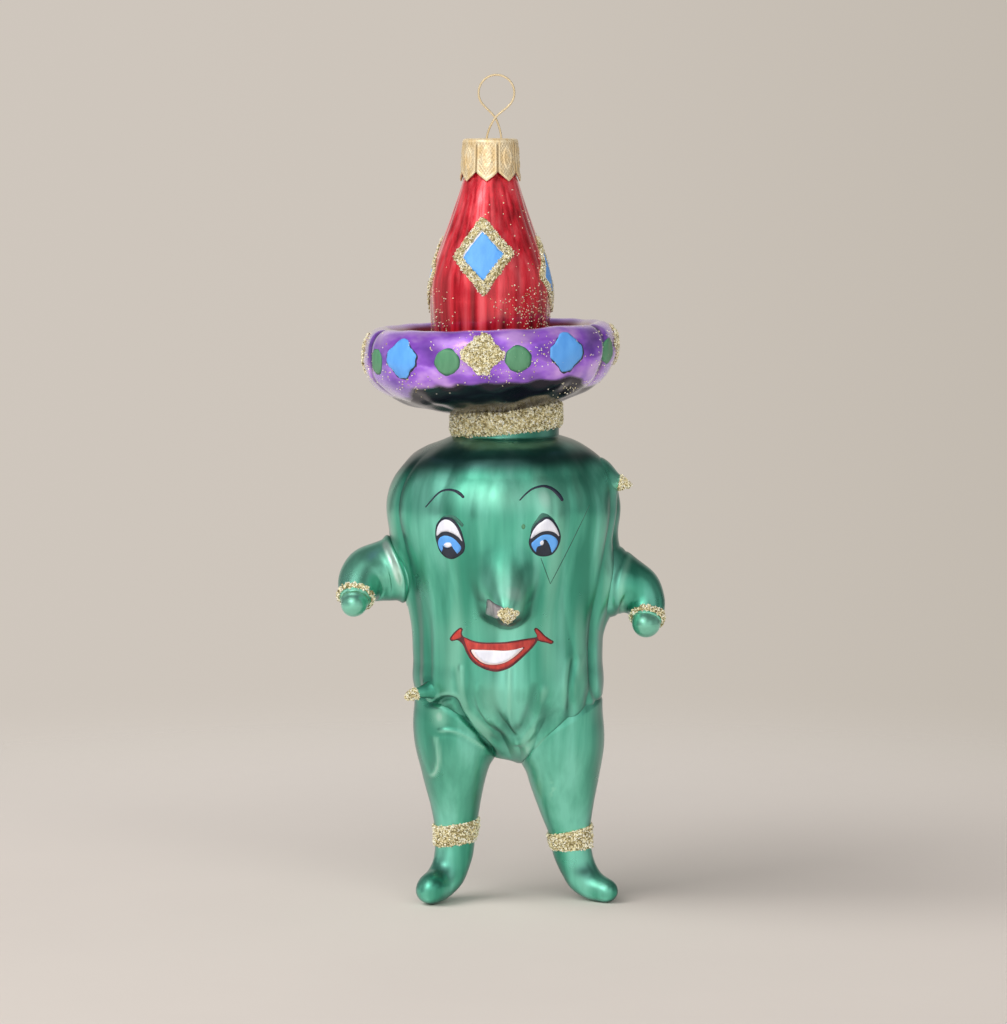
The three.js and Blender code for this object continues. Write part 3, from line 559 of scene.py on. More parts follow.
STEPS = 20  # rings to each stretch between a limb's stations
LIMBS = {  # stations along each limb, (x, y, z, radius)
    "left_arm": [
        (-WAIST + 9, 0, SHOULDER_Z, 6.5), (-WAIST + 2.5, -0.4, SHOULDER_Z + 0.2, 6.8),
        (-WAIST - 2.2, -1.4, SHOULDER_Z - 0.5, 6.4), (-WAIST - 5.2, -4, SHOULDER_Z - 2, 5.35),
        (-WAIST - 6.3, -7.2, SHOULDER_Z - 4.2, 4.0), (-WAIST - 6.7, -9.8, SHOULDER_Z - 6.4, 2.8)],
    "right_arm": [
        (WAIST - 9, 0, SHOULDER_Z - 2.2, 6.25), (WAIST - 2, -0.3, SHOULDER_Z - 2.6, 6.8),
        (WAIST + 3, -1, SHOULDER_Z - 4.2, 5.92), (WAIST + 5.4, -2.7, SHOULDER_Z - 6.9, 4.42),
        (WAIST + 5.8, -5, SHOULDER_Z - 9.6, 3.33), (WAIST + 5.6, -6.4, SHOULDER_Z - 11, 3.1)],
    "left_leg": [
        (-HIP + 2, -0.5, HIP_Z + 1, 8.74), (-HIP + 0.7, -0.8, HIP_Z - 6, 9.5),
        (-HIP + 0.1, -0.6, HIP_Z - 12.5, 8.93), (-HIP - 0.1, 0.2, HIP_Z - 19.5, 7.08),
        (-HIP, 1.2, 20.54, 5.33), (-HIP - 0.1, 1.8, 14.64, 4.39), (-HIP - 0.4, 1.7, 10.0, 4.2),
        (-HIP - 1.6, 0.9, 6.3, 4.05), (-HIP - 3.5, -1.1, 4.1, 3.8), (-HIP - 5.3, -3.8, 3.45, 3.55)],
    "right_leg": [
        (HIP + 0.5, -0.2, HIP_Z + 1, 8.36), (HIP + 1.5, -0.4, HIP_Z - 6, 9.21),
        (HIP + 2.2, -0.2, HIP_Z - 12.5, 9.12), (HIP + 2.6, 0.5, HIP_Z - 19.5, 7.89),
        (HIP + 3.2, 1.3, 20.54, 6.02), (HIP + 4, 2, 14.64, 4.56), (HIP + 4.6, 2, 10.0, 4.2),
        (HIP + 6.0, 1.8, 6.2, 4.0), (HIP + 8.4, 0.8, 3.7, 3.5), (HIP + 11.8, -1.4, 2.6, 2.75)],
    "upper_thorn": [
        (WAIST * 0.7, -3.5, NECK_FOOT - 9, 3.6), (WAIST * 0.86, -4.5, NECK_FOOT - 9.2, 3.2),
        (WAIST * 0.97, -5, NECK_FOOT - 9.5, 1.5), (WAIST * 1.075, -5.2, NECK_FOOT - 10.3, 0.3)],
    "lower_thorn": [
        (-WAIST * 0.52, -8, HIP_Z + 0.3, 2.2), (-WAIST * 0.66, -10.4, HIP_Z, 1.6),
        (-WAIST * 0.75, -11.6, HIP_Z - 0.4, 1.0), (-WAIST * 0.81, -12.4, HIP_Z - 0.9, 0.4)],
}
# How each limb is melted on: the fillet's reach, and the groove that the joint keeps.
WELDS = {
    "left_arm": (2.2, 0.55), "right_arm": (6.0, 0.05), "left_leg": (3.0, 0.45), "right_leg": (3.6, 0.35),
    "upper_thorn": (4.5, 0.0), "lower_thorn": (1.6, 0.0),
}


def weld(tree, grid, name):
    """The fillet where a limb meets the body, on the side of the given grid, and the groove in it."""
    blend, groove = WELDS[name]
    gaps = gaps_to(tree, grid, blend)
    return (np.clip(blend - gaps, 0, None) / blend) ** 2 * blend / 4 - groove * bump(gaps, 0.45)


def relaxed(grid, first, rounds=36):
    """The grid with its rows from `first` on drawn towards their neighbours, which rounds a tight bend."""
    share = smooth(np.arange(len(grid))[:, None, None], first, first + 14)
    for _ in range(rounds):
        beside = (np.roll(grid, 1, 1) + np.roll(grid, -1, 1)) / 4
        along = np.concatenate([grid[:1], (grid[:-2] + grid[2:]) / 2, grid[-1:]]) / 2
        grid = grid + 0.5 * share * (beside + along - grid)
    return grid


def limb_grid(name):
    spine = catmull(LIMBS[name], STEPS)
    if name.endswith("leg"):
        return relaxed(tube(spine[:, :3], spine[:, 3], 88, 14, 14), 6 * STEPS)
    return tube(spine[:, :3], spine[:, 3], 88, 14, 6)


# Each limb's own marks: (rise, folds, painted highlight) on its grid.

def left_arm_marks(grid):
    collar = gaps_to(body_tree, grid, 3)
    front = smooth(-grid[..., 1], 0, 5) * smooth(grid[..., 2], SHOULDER_Z - 6, SHOULDER_Z)
    # A painted highlight in a crescent on the front of the collar.
    return 0.5 * bump(collar - 1.1, 0.7), 0, 1.2 * bump(collar - 1.8, 1.1) * front


def right_arm_marks(grid):
    socket = gaps_to(body_tree, grid, 6)
    # A painted highlight beside the socket's groove.
    return 0, -0.25 * bump(socket - 2.6, 0.4), 0.6 * bump(socket - 3.7, 0.6) * smooth(-grid[..., 1], 0, 4)


def left_leg_marks(grid):
    folds = crease(grid, DROP, 0.75, -0.3, 0.0, -0.2)
    for fold in FOLDS[:2]:
        folds = folds + crease(grid, *fold)
    # Painted highlights on the thigh and on the lips of the folds.
    return 0, folds, glows(grid, [THIGH_SPOT]) + 0.6 * smooth(folds, 0.05, 0.3)


def right_leg_marks(grid):
    specked = waves(17, grid, (1.5, 1.5, 1.5)) > 0.3
    return 0, 0, glows(grid, [TOE_SPOT]) + glows(grid, [RIGHT_THIGH_SPECKS]) * specked


MARKS = {"left_arm": left_arm_marks, "right_arm": right_arm_marks, "left_leg": left_leg_marks,
         "right_leg": right_leg_marks}


def limb_surface(name, grid):
    """(grid, fields) of a limb with its weld, folds and marks."""
    plain = np.zeros(grid.shape[:2])
    station = np.clip(np.arange(len(grid)) - 1, 0, (len(LIMBS[name]) - 1) * STEPS)[:, None] / STEPS
    rise = weld(body_tree, grid, name)
    rise += 0.16 * waves(len(name), grid, (9, 9, 22)) * smooth(grid[..., 2], 1, 5)
    raised, folds, pale = MARKS[name](grid) if name in MARKS else (0, 0, 0)
    rise += raised
    folds, pale = plain + folds, plain + pale
    # Paler: the hands past the wrist, a band down each leg, and the thorns' tips.
    if name.endswith("arm"):
        pale = np.maximum(pale, 0.6 * smooth(station, 4.4, 4.7))
        rise -= 0.3 * bump(station - 4.66, 0.09)
    elif name.endswith("leg"):
        pale += 0.14 * smooth(grid[..., 2], 14, 22) * smooth(-grid[..., 2], -40, -30)
    else:
        pale += 0.35 * smooth(station, 1.2, 2.6)
    surface = grid + normals_of(grid) * (rise + folds)[..., None]
    surface[..., 2] = np.maximum(surface[..., 2], 0)
    # Painted shade over the instep, and in the folds.
    dark = plain + glows(grid, [INSTEPS[name]] if name in INSTEPS else [])
    return surface, {"valley": np.clip(-folds / 0.6, 0, 1), "pale": pale, "shade": dark}


plain_body, nose_height = draw_nose(body_grid()[0])
body_tree = tree_of(*skin(plain_body))
limb_grids = {name: limb_grid(name) for name in LIMBS}
body_ribs = ribs_on(plain_body, turns(BODY_COLUMNS))
body_folds = sum(crease(plain_body, *fold) for fold in FOLDS)
body_rise = body_ribs + body_folds
body_valley = np.clip(-body_rise / 0.9, 0, 1)
for name, grid in limb_grids.items():
    body_rise += weld(tree_of(*skin(grid)), plain_body, name)
body = plain_body + normals_of(plain_body) * body_rise[..., None]
# Painted highlights on the crests of the ribs and folds, and at the spots.
body_painted_highlight = 0.5 * smooth(body_folds + body_ribs, 0.05, 0.5) + glows(plain_body, BODY_SPOTS)
# Painted shade: a dark band on the shoulders under the brim, broken by the ribs near the neck, and a dark
# crescent under the nose.
shoulder_shade = smooth(plain_body[..., 2] - 0.05 * plain_body[..., 0], 93.2, 97.0)
shoulder_shade *= 1 - 0.7 * smooth(plain_body[..., 2], 97.6, 100.4) * smooth(body_ribs, -0.25, 0.15)
under_nose_shade = smooth(-normals_of(plain_body)[..., 2], 0.05, 0.5) * smooth(nose_height, 0.2, 1.5)
add_grid("body_glass", body, GREEN, "green_glass", "body", valley=body_valley, pale=np.clip(body_painted_highlight, 0, 1),
         shade=shoulder_shade + under_nose_shade, nose=0.5 * smooth(nose_height, 0.3, 2.5))
figure_tree = tree_of(*skin(body))
for name, grid in limb_grids.items():
    limb_grids[name], limb_fields = limb_surface(name, grid)
    add_grid(f"{name}_glass", limb_grids[name], GREEN, "green_glass", name, **limb_fields)


# The sombrero: brim and crown.

BRIM_OUTSIDE = [  # (share of the brim's radius, share of its height), from the neck out to the rim
    (0.44, 0), (0.57, 0.065), (0.755, 0.175), (0.895, 0.315), (0.965, 0.44), (0.995, 0.57), (1, 0.7),
    (0.985, 0.85), (0.935, 0.965), (0.87, 1),
]
BRIM_INSIDE = [(0.8, 0.17), (0.7, 0.63), (0.58, 0.93)]  # (share of the radius, share of the dish's depth)
BRIM_COLUMNS, CROWN_COLUMNS = 420, 432
CROWN_OUTLINE = [  # (share of the crown's radius, share of its height)
    (0.955, -0.05), (0.965, 0.1), (0.985, 0.24), (0.995, 0.36), (0.945, 0.46), (0.83, 0.58), (0.655, 0.75),
    (0.52, 0.89), (0.455, 0.97),
]


def brim_lean(height):
    """Climb of the brim towards +X, steeper at its foot than at its rim."""
    return np.tan(np.radians(4.5 - 2.7 * smooth(height, 0, BRIM_HEIGHT)))


def brim_grid():
    """(grid, reach, height) of the brim: its outside, the rim and the dish inside it."""
    profile = [(r * BRIM_RADIUS, h * BRIM_HEIGHT) for r, h in BRIM_OUTSIDE]
    profile += [(r * BRIM_RADIUS, BRIM_HEIGHT - f * BRIM_DISH) for r, f in BRIM_INSIDE]
    profile = even(catmull([*profile, (9.8, BRIM_HEIGHT - BRIM_DISH)], 20), 230)
    profile = np.vstack([[0, 0], [9, 0], profile, [0, profile[-1, 1]]])
    reach, height = profile[:, :1], profile[:, 1:]
    foot_x = HAT_X / 2.4
    shift = foot_x + (HAT_X - foot_x) * smooth(height, 0, BRIM_HEIGHT / 2)
    x, y = shift + reach * np.cos(brim_angle), reach * np.sin(brim_angle)
    return np.stack([x, y, BRIM_FOOT + height + (x - HAT_X) * brim_lean(height)], axis=-1), reach, height


def brim_relief(grid, reach, height):
    """Soft lobes on the underside, slow waves, and two creases near the ends that the photo shows."""
    lobes = np.abs(np.sin(7 * brim_angle + 0.9 * np.sin(2 * brim_angle + 1)))
    rise = 0.22 * (lobes ** 1.3 - 0.5) * smooth(-height, -13, -5) * smooth(reach, 12, 16)
    rise = rise + 0.13 * waves(21, grid, (8, 8, 6))
    for side in (-1, 1):
        edge = BRIM_TURN + side * math.radians(67) - math.pi / 2
        turn = (brim_angle - edge + math.pi) % (2 * math.pi) - math.pi
        rise = rise - 0.45 * bump(turn, 0.035) * smooth(height, 3, 8)
    rise[0] = rise[-1] = 0
    return rise


brim_angle = turns(BRIM_COLUMNS)
brim, brim_reach, brim_height = brim_grid()
brim_rise = brim_relief(brim, brim_reach, brim_height)
brim = brim + normals_of(brim) * brim_rise[..., None]
rim_row = int(brim_height[:, 0].argmax())
inward = smooth(np.arange(len(brim_height))[:, None] - rim_row, 4, 16)
# The dish inside the rim takes the crown's painted reflection.
dish = inward * smooth(BRIM_RADIUS * 0.93 - brim_reach, 0, 1.6) + 0 * brim_angle
# Painted shade on the lower part, which climbs higher in front, and in the creases.
ahead = smooth(np.cos(brim_angle + math.pi / 2 - math.radians(3)), 0.5, 0.8)
shaded_to = 4.3 + 2.7 * ahead + 0.3 * waves(23, brim, (5, 5, 3))
underside = 1 - smooth(brim_height - shaded_to, -0.45, 0.3)
shaded = np.maximum(np.clip(-brim_rise / 0.7, 0, 1), underside)
brim_piece = add_grid("brim_glass", brim, PURPLE, "purple_glass", "hat_brim", valley=shaded, inner=dish)
# The faces wholly in the painted shade take the darkened copy.
brim_piece.data.materials.append(SHADED_PURPLE)
in_shade = per_point(underside) > 0.99
lower_faces = [all(in_shade[list(face)]) for face in skin(brim)[1]]
brim_piece.data.polygons.foreach_set("material_index", np.array(lower_faces, np.int32))
brim_tree = tree_of(*skin(brim))


def crown_grid():
    """The crown as it is turned, up to the cut end of its spout."""
    profile = [(r * CROWN_RADIUS, CROWN_FOOT + h * CROWN_HEIGHT) for r, h in CROWN_OUTLINE]
    profile += [(SPOUT_RADIUS, SPOUT_FOOT), (SPOUT_RADIUS, SPOUT_TOP - 0.3)]
    profile = even(catmull(profile, 20), 190)
    profile = np.vstack([[0, profile[0, 1]], profile, [SPOUT_RADIUS - 0.3, SPOUT_TOP], [0, SPOUT_TOP]])
    return turned(profile, CROWN_COLUMNS, (HAT_X, 0))


crown, crown_angle = crown_grid()
crown_z = crown[..., 2]
flutes = np.abs(np.sin(0.5 * (24 * crown_angle + 1.5 * waves(31, crown, (14, 14, 60)))))
crown_rise = 0.1 * (flutes - 0.6) * smooth(SPOUT_FOOT - 0.4 - crown_z, 0, 7)
crown_rise += 0.07 * waves(33, crown, (6, 6, 25)) * (crown_z < SPOUT_FOOT - 1.2)
crown_rise[0] = crown_rise[-1] = 0
crown = crown + normals_of(crown) * crown_rise[..., None]
# Painted shade: darker in the flutes' grooves and towards the crown's foot.
crown_low = smooth(-crown_z, -CROWN_FOOT - 11, -CROWN_FOOT - 2)
crown_valley = np.clip(-crown_rise / 0.3 + 0.7 * crown_low * (1 - flutes) + 0.2 * crown_low, 0, 1)
add_grid("crown_glass", crown, RED, "red_glass", "hat_crown", valley=crown_valley, inner=0 * crown_z)
crown_tree = tree_of(*skin(crown))


# Paint: thin closed patches that lie on the glass.

def facing(angle=0.0, axis=(0.0, 0.0)):
    """A view towards the figure: (right, towards the glass, centre) with the front at angle 0."""
    right = np.array([math.cos(angle), math.sin(angle), 0])
    inward = np.array([-math.sin(angle), math.cos(angle), 0])
    return right, inward, np.array([*axis, 0.0])


def cast(tree, flat, view):
    """Where points of a drawing, (across, up), land on the glass, and the normals there."""
    right, inward, centre = view
    ground, normals = [], []
    for across, up in flat:
        start = centre + right * across + UP * up - inward * 60
        hit, normal = tree.ray_cast(Vector(start), Vector(inward))[:2]
        ground.append(np.array(hit) if hit else start + inward * 60)
        normals.append(np.array(normal) if hit else -inward)
    return np.array(ground), unit(np.array(normals))


def within(points, loops):
    """Which points lie inside the loops, where a loop inside another is a hole."""
    inside = np.zeros(len(points), bool)
    for loop in loops:
        run = np.roll(loop, -1, 0) - loop
        climb = np.where(np.abs(run[:, 1]) < 1e-9, 1e-9, run[:, 1])
        height = points[:, 1, None]
        crosses = (loop[:, 1] > height) != (loop[:, 1] + run[:, 1] > height)
        at = loop[:, 0] + (height - loop[:, 1]) * run[:, 0] / climb
        inside ^= (np.sum(crosses & (points[:, :1] < at), axis=1) % 2).astype(bool)
    return inside


def gap_to_loops(points, loops):
    edge = np.vstack([even(np.vstack([loop, loop[:1]]), 260) for loop in loops])
    return np.linalg.norm(points[:, None] - edge[None], axis=2).min(axis=1)


def fill(outline, pitch, holes=()):
    """(points, triangles, distance of each point to the rim) of a drawn shape, filled with even triangles."""
    loops = [np.asarray(loop, float) for loop in (outline, *holes)]
    rim = np.vstack(loops)
    edges, start = [], 0
    for loop in loops:
        count = len(loop)
        edges += [(start + i, start + (i + 1) % count) for i in range(count)]
        start += count
    low, high = rim.min(axis=0), rim.max(axis=0)
    inner = []
    for k, y in enumerate(np.arange(low[1], high[1], pitch * 0.87)):
        inner += [(x, y) for x in np.arange(low[0] + (k % 2) * pitch / 2, high[0], pitch)]
    inner = np.array(inner).reshape(-1, 2)
    inner = inner[within(inner, loops)]
    inner = inner[gap_to_loops(inner, loops) > pitch * 0.45]
    made = delaunay_2d_cdt([Vector(p) for p in np.vstack([rim, inner])], edges, [], 0, 1e-6)
    points = np.array([(p.x, p.y) for p in made[0]])
    triangles = np.array([t for t in made[2] if len(t) == 3])
    triangles = triangles[within(points[triangles].mean(axis=1), loops)]
    a, b, c = (points[triangles[:, k]] for k in range(3))
    turned_over = np.cross(b - a, c - a) < 0
    triangles = np.where(turned_over[:, None], triangles[:, ::-1], triangles)
    return points, triangles, gap_to_loops(points, loops)


def laid(tree, outline, view, lift, pitch=0.4, holes=(), wobble=0.0, base=0.0):
    """(points, faces, top triangles' count) of a thin patch of paint with rounded edges that starts at the
    base's height over the glass, where other paint ends."""
    flat, triangles, gap = fill(outline, pitch, holes)
    ground, normals = cast(tree, flat, view)
    rise = base + (lift - base) * (0.25 + 0.75 * smooth(gap, 0, 0.22))
    if wobble:
        rise = rise + wobble * waves(7, ground, (0.9, 0.9, 0.9))
    top = ground + normals * rise[:, None]
    bottom = ground - normals * 0.2
    count = len(flat)
    sides = dict.fromkeys((int(t[k]), int(t[k - 2])) for t in triangles for k in range(3))
    walls = [(a, b) for a, b in sides if (b, a) not in sides]
    faces = [tuple(int(i) for i in t) for t in triangles]
    faces += [(int(c) + count, int(b) + count, int(a) + count) for a, b, c in triangles]
    faces += [(b, a, a + count, b + count) for a, b in walls]
    return np.vstack([top, bottom]), faces, len(triangles)


def round_outline(points, count=90):
    closed = catmull(points, 10, closed=True)
    return even(np.vstack([closed, closed[:1]]), count + 1)[:-1]


def stroke(line, widths, count=50):
    """The outline of a brush stroke along a line, with its width at each point of the line."""
    spine = even(catmull([(*p, w) for p, w in zip(line, widths)], 12), count)
    ahead = unit(np.gradient(spine[:, :2], axis=0))
    across = np.column_stack([-ahead[:, 1], ahead[:, 0]]) * spine[:, 2:] / 2
    tips = [spine[-1, :2] + ahead[-1] * spine[-1, 2] * 0.45], [spine[0, :2] - ahead[0] * spine[0, 2] * 0.45]
    return np.vstack([spine[:, :2] - across, tips[0], (spine[:, :2] + across)[::-1], tips[1]])


def paint(name, outline, lift, finish, slot, stands_for=(), view=None, tree=None, pitch=0.4, base=0.0):
    points, faces, _ = laid(tree or figure_tree, outline, view or facing(), lift, pitch, base=base)
    return add_piece(name, points, faces, finish, slot, stands_for=stands_for)


# Points as (across, up) on the front.
EYES = {
    "left": {
        "outline": [
            (-14.35, 81.99), (-14.13, 83.75), (-13.26, 85.01), (-12.07, 85.57), (-10.88, 85.4),
            (-9.77, 84.44), (-8.91, 82.95), (-8.38, 81.22), (-8.08, 79.66), (-8.28, 78.35), (-9.18, 77.39),
            (-10.91, 76.58), (-12.42, 77.01), (-13.5, 78.27), (-14.04, 79.81), (-14.31, 81.0)],
        "white": [
            (-13.99, 81.46), (-13.89, 83.11), (-13.15, 84.51), (-12.07, 85.04), (-10.93, 84.7),
            (-9.98, 83.74), (-9.21, 82.24), (-8.66, 80.52), (-9.39, 81.36), (-10.68, 82.18),
            (-11.93, 82.52), (-13.05, 82.24)],
        "iris": [
            (-13.75, 79.72), (-13.49, 80.9), (-12.66, 81.5), (-11.76, 81.59), (-10.46, 81.1),
            (-9.39, 80.05), (-8.88, 79.16), (-9.09, 78.49), (-9.57, 77.95), (-10.04, 77.44),
            (-10.91, 77.02), (-12.2, 77.4), (-12.96, 78.02), (-13.5, 78.86)],
        "pupil": [
            (-12.74, 79.57), (-12.31, 79.15), (-11.66, 79.03), (-10.9, 79.44), (-10.43, 78.87),
            (-9.83, 78.03), (-9.57, 77.53), (-10.91, 76.74), (-12.21, 77.18), (-12.92, 77.95),
            (-12.72, 78.76)],
        "glint": [
            (-12.45, 79.65), (-11.93, 80.11), (-11.11, 80.11), (-10.83, 79.55), (-11.51, 79.11),
            (-12.2, 79.2)],
        "lid": [
            (-13.74, 83.78), (-13.15, 85.23), (-11.91, 86.01), (-10.23, 85.86), (-8.95, 84.86),
            (-8.35, 83.97), (-8.69, 83.61), (-9.59, 84.45), (-10.84, 85.3), (-12.07, 85.4), (-13.15, 84.8)],
        "brow": [
            (-16.4, 87.39), (-15.22, 88.81), (-14.13, 90.02), (-13.05, 90.85), (-11.54, 91.23),
            (-10.25, 91.09), (-9.17, 90.54), (-8.42, 89.84)],
        "brow_widths": [0.216, 0.27, 0.324, 0.3645, 0.432, 0.54, 0.675, 0.567],
    },
    "right": {
        "outline": [
            (5.26, 80.5), (5.49, 81.47), (6.02, 83.16), (6.94, 84.44), (7.95, 85.37), (9.02, 85.84),
            (10.09, 85.4), (11.07, 84.23), (11.74, 82.78), (12.03, 81.42), (11.75, 79.9), (11.02, 78.45),
            (10.12, 77.62), (8.5, 77.27), (7.1, 77.57), (6.14, 78.37), (5.51, 79.41)],
        "white": [
            (5.7, 81.21), (6.13, 82.72), (7.09, 84.05), (8.06, 84.78), (9.02, 85.34), (9.99, 84.82),
            (10.85, 83.7), (11.4, 82.58), (11.64, 81.52), (10.97, 82.17), (10.1, 82.6), (9.03, 82.77),
            (7.74, 82.5), (6.67, 81.86)],
        "iris": [
            (5.81, 80.12), (6.46, 80.8), (7.53, 81.6), (8.6, 82.0), (9.89, 81.86), (10.97, 81.16),
            (11.36, 80.36), (11.1, 79.32), (10.5, 78.43), (9.9, 77.93), (8.5, 77.73), (7.1, 78.06),
            (6.24, 78.95)],
        "pupil": [
            (7.1, 79.47), (7.74, 79.67), (8.17, 80.53), (8.6, 81.0), (9.14, 80.61), (9.68, 79.6),
            (9.98, 78.5), (10.07, 77.73), (8.5, 77.33), (6.93, 77.91), (6.8, 78.61)],
        "glint": [(7.68, 80.5), (8.17, 80.81), (8.41, 80.39), (8.09, 79.75), (7.7, 79.89)],
        "lid": [
            (5.64, 82.34), (5.94, 83.75), (6.88, 85.25), (7.94, 86.52), (8.91, 86.43), (10.09, 85.64),
            (10.96, 84.67), (10.09, 85.3), (9.02, 85.65), (7.95, 85.2), (6.94, 84.3), (6.02, 83.0)],
        "brow": [
            (3.41, 89.31), (4.53, 90.43), (5.81, 91.45), (7.1, 91.94), (8.5, 92.11), (9.9, 91.65),
            (10.97, 90.88), (11.83, 89.91), (12.37, 89.05)],
        "brow_widths": [0.27, 0.324, 0.378, 0.432, 0.513, 0.648, 0.7425, 0.7695, 0.6075],
    },
}
# From the glass out: (part, name, points round it, lift, paint, slot, CAD node, height of its foot, pitch).
EYE_LAYERS = [
    ("lid", "lid_shade", 70, 0.05, SHADE, "black_enamel", None, 0.0, 0.4),
    ("outline", "eye_rim", 90, 0.09, INK, "black_enamel", "eye_outline", 0.0, 0.4),
    ("white", "eye_white_paint", 90, 0.14, WHITE, "white_enamel", "eye_white", 0.08, 0.4),
    ("iris", "iris_paint", 90, 0.14, BLUE, "blue_enamel", "iris", 0.08, 0.4),
    ("pupil", "pupil_paint", 70, 0.18, INK, "black_enamel", "pupil", 0.13, 0.4),
    ("glint", "glint", 40, 0.22, WHITE, "white_enamel", None, 0.17, 0.3),
]
for side, eye in EYES.items():
    for part, name, count, lift, finish, slot, node, base, pitch in EYE_LAYERS:
        outline = round_outline(eye[part], count)
        nodes = [f"{side}_{node}"] if node else []
        paint(f"{side}_{name}", outline, lift, finish, slot, nodes, pitch=pitch, base=base)
    brow = stroke(eye["brow"], eye["brow_widths"])
    paint(f"{side}_brow_paint", brow, 0.08, INK, "black_enamel", [f"{side}_brow"], pitch=0.3)

LIP_SHAPE = [
    (-11.39, 59.22), (-10.72, 60.35), (-9.76, 61.38), (-9.0, 61.86), (-8.6, 61.57), (-8.8, 60.71),
    (-8.59, 60.05), (-7.49, 59.52), (-6.17, 59.05), (-4.28, 58.81), (-2.21, 58.8), (-0.14, 58.94),
    (1.94, 59.23), (4.01, 59.53), (5.89, 59.77), (7.06, 60.04), (6.74, 60.85), (6.42, 61.63), (6.89, 61.95),
    (7.78, 61.32), (8.72, 60.28), (9.86, 59.42), (10.64, 58.81), (10.17, 58.34), (8.92, 58.71),
    (7.87, 58.93), (7.21, 59.16), (6.93, 58.69), (6.08, 57.63), (4.76, 56.33), (3.26, 54.96), (1.56, 53.64),
    (-0.14, 52.86), (-1.64, 52.55), (-3.15, 52.77), (-4.66, 53.36), (-6.17, 54.25), (-7.12, 55.26),
    (-7.87, 56.56), (-8.63, 58.2), (-9.73, 59.08), (-11.02, 58.81),
]
LIP_RED = [
    (-8.25, 59.56), (-7.45, 59.22), (-6.17, 58.74), (-4.28, 58.5), (-2.21, 58.48), (-0.14, 58.62),
    (1.94, 58.88), (4.01, 59.21), (5.89, 59.43), (6.68, 59.48), (6.46, 58.8), (5.7, 57.83), (4.39, 56.57),
    (2.97, 55.35), (1.37, 54.08), (-0.23, 53.31), (-1.64, 53.05), (-3.06, 53.27), (-4.47, 53.8),
    (-5.79, 54.65), (-6.74, 55.62), (-7.46, 56.87), (-7.97, 58.23),
]
TEETH = [
    (-6.77, 57.11), (-5.6, 57.2), (-3.9, 57.2), (-1.64, 57.13), (0.62, 57.17), (2.5, 57.43), (4.12, 57.75),
    (3.25, 56.74), (1.94, 55.61), (0.24, 54.58), (-1.64, 54.08), (-3.15, 54.07), (-4.47, 54.49),
    (-5.6, 55.31), (-6.36, 56.14),
]
FLICKS = {
    "left": [
        (-11.06, 59.21), (-10.49, 60.17), (-9.65, 61.12), (-9.04, 61.5), (-8.89, 61.28), (-9.04, 60.54),
        (-8.89, 59.9), (-9.67, 59.41), (-10.72, 59.09)],
    "right": [
        (6.68, 61.55), (6.95, 61.66), (7.68, 61.01), (8.57, 60.06), (9.67, 59.21), (10.28, 58.79),
        (10.05, 58.65), (8.91, 58.98), (7.97, 59.21), (7.36, 59.46), (7.06, 60.31)],
}
VEE = {
    "short": [(7.86, 76.92), (8.86, 74.1), (9.86, 71.35)],
    "long": [(9.86, 71.35), (13.7, 78.67), (18.13, 87.64)],
}
FRECKLE = [
    (3.75, 83.78), (3.86, 84.15), (4.16, 84.33), (4.46, 84.15), (4.57, 83.78), (4.46, 83.4), (4.16, 83.23),
    (3.86, 83.4),
]
NOSE_GREY_PATCH = [
    (-3.3, 68.7), (-1.6, 68.0), (0.0, 67.3), (-0.8, 66.2), (-1.3, 64.9), (-2.5, 65.0), (-3.7, 65.3),
    (-3.6, 67.0),
]
NOSE_SPOT = [
    (3.1, 66.2), (2.2, 66.9), (0.6, 67.4), (-0.7, 67.0), (-1.1, 65.9), (-0.5, 65.0), (1.0, 64.1),
    (1.9, 64.9),
]
NOSE_BEAD = [(0.5, 64.0), (1.0, 64.5), (1.5, 64.0), (1.0, 63.5)]


def shrunk(outline, share):
    outline = np.asarray(outline, float)
    centre = (outline.min(axis=0) + outline.max(axis=0)) / 2
    return centre + (outline - centre) * share


paint("lip_line", round_outline(LIP_SHAPE, 200), 0.08, LIP_LINE, "red_enamel", ["lips"])
paint("lip_red", round_outline(LIP_RED, 140), 0.13, LIPS, "red_enamel", base=0.07)
for side, outline in FLICKS.items():
    paint(f"lip_flick_{side}", round_outline(outline, 60), 0.12, LIPS, "red_enamel", pitch=0.3, base=0.07)
paint("tooth_line", round_outline(shrunk(TEETH, 1.06), 120), 0.155, LIP_LINE, "red_enamel", base=0.12)
paint("tooth_edge", round_outline(TEETH, 120), 0.18, TOOTH_EDGE, "white_enamel", base=0.15)
inner_teeth = round_outline(shrunk(TEETH, 0.88), 120)
paint("teeth_paint", inner_teeth, 0.21, WHITE, "white_enamel", ["teeth"], base=0.175)
for side, line in VEE.items():
    paint(f"vee_{side}_line", stroke(line, [0.14, 0.2, 0.14]), 0.03, SHADE, "green_glass", pitch=0.3)
paint("freckle", round_outline(FRECKLE, 30), 0.03, LEAF, "leaf_enamel", pitch=0.3)


# Glitter: a bed of gum with grains of foil on it.

CORNERS = np.array([[1, 0, 0], [-1, 0, 0], [0, 1, 0], [0, -1, 0], [0, 0, 1], [0, 0, -1]], float)
FACETS = np.array([(0, 2, 4), (2, 1, 4), (1, 3, 4), (3, 0, 4), (2, 0, 5), (1, 2, 5), (3, 1, 5), (0, 3, 5)])


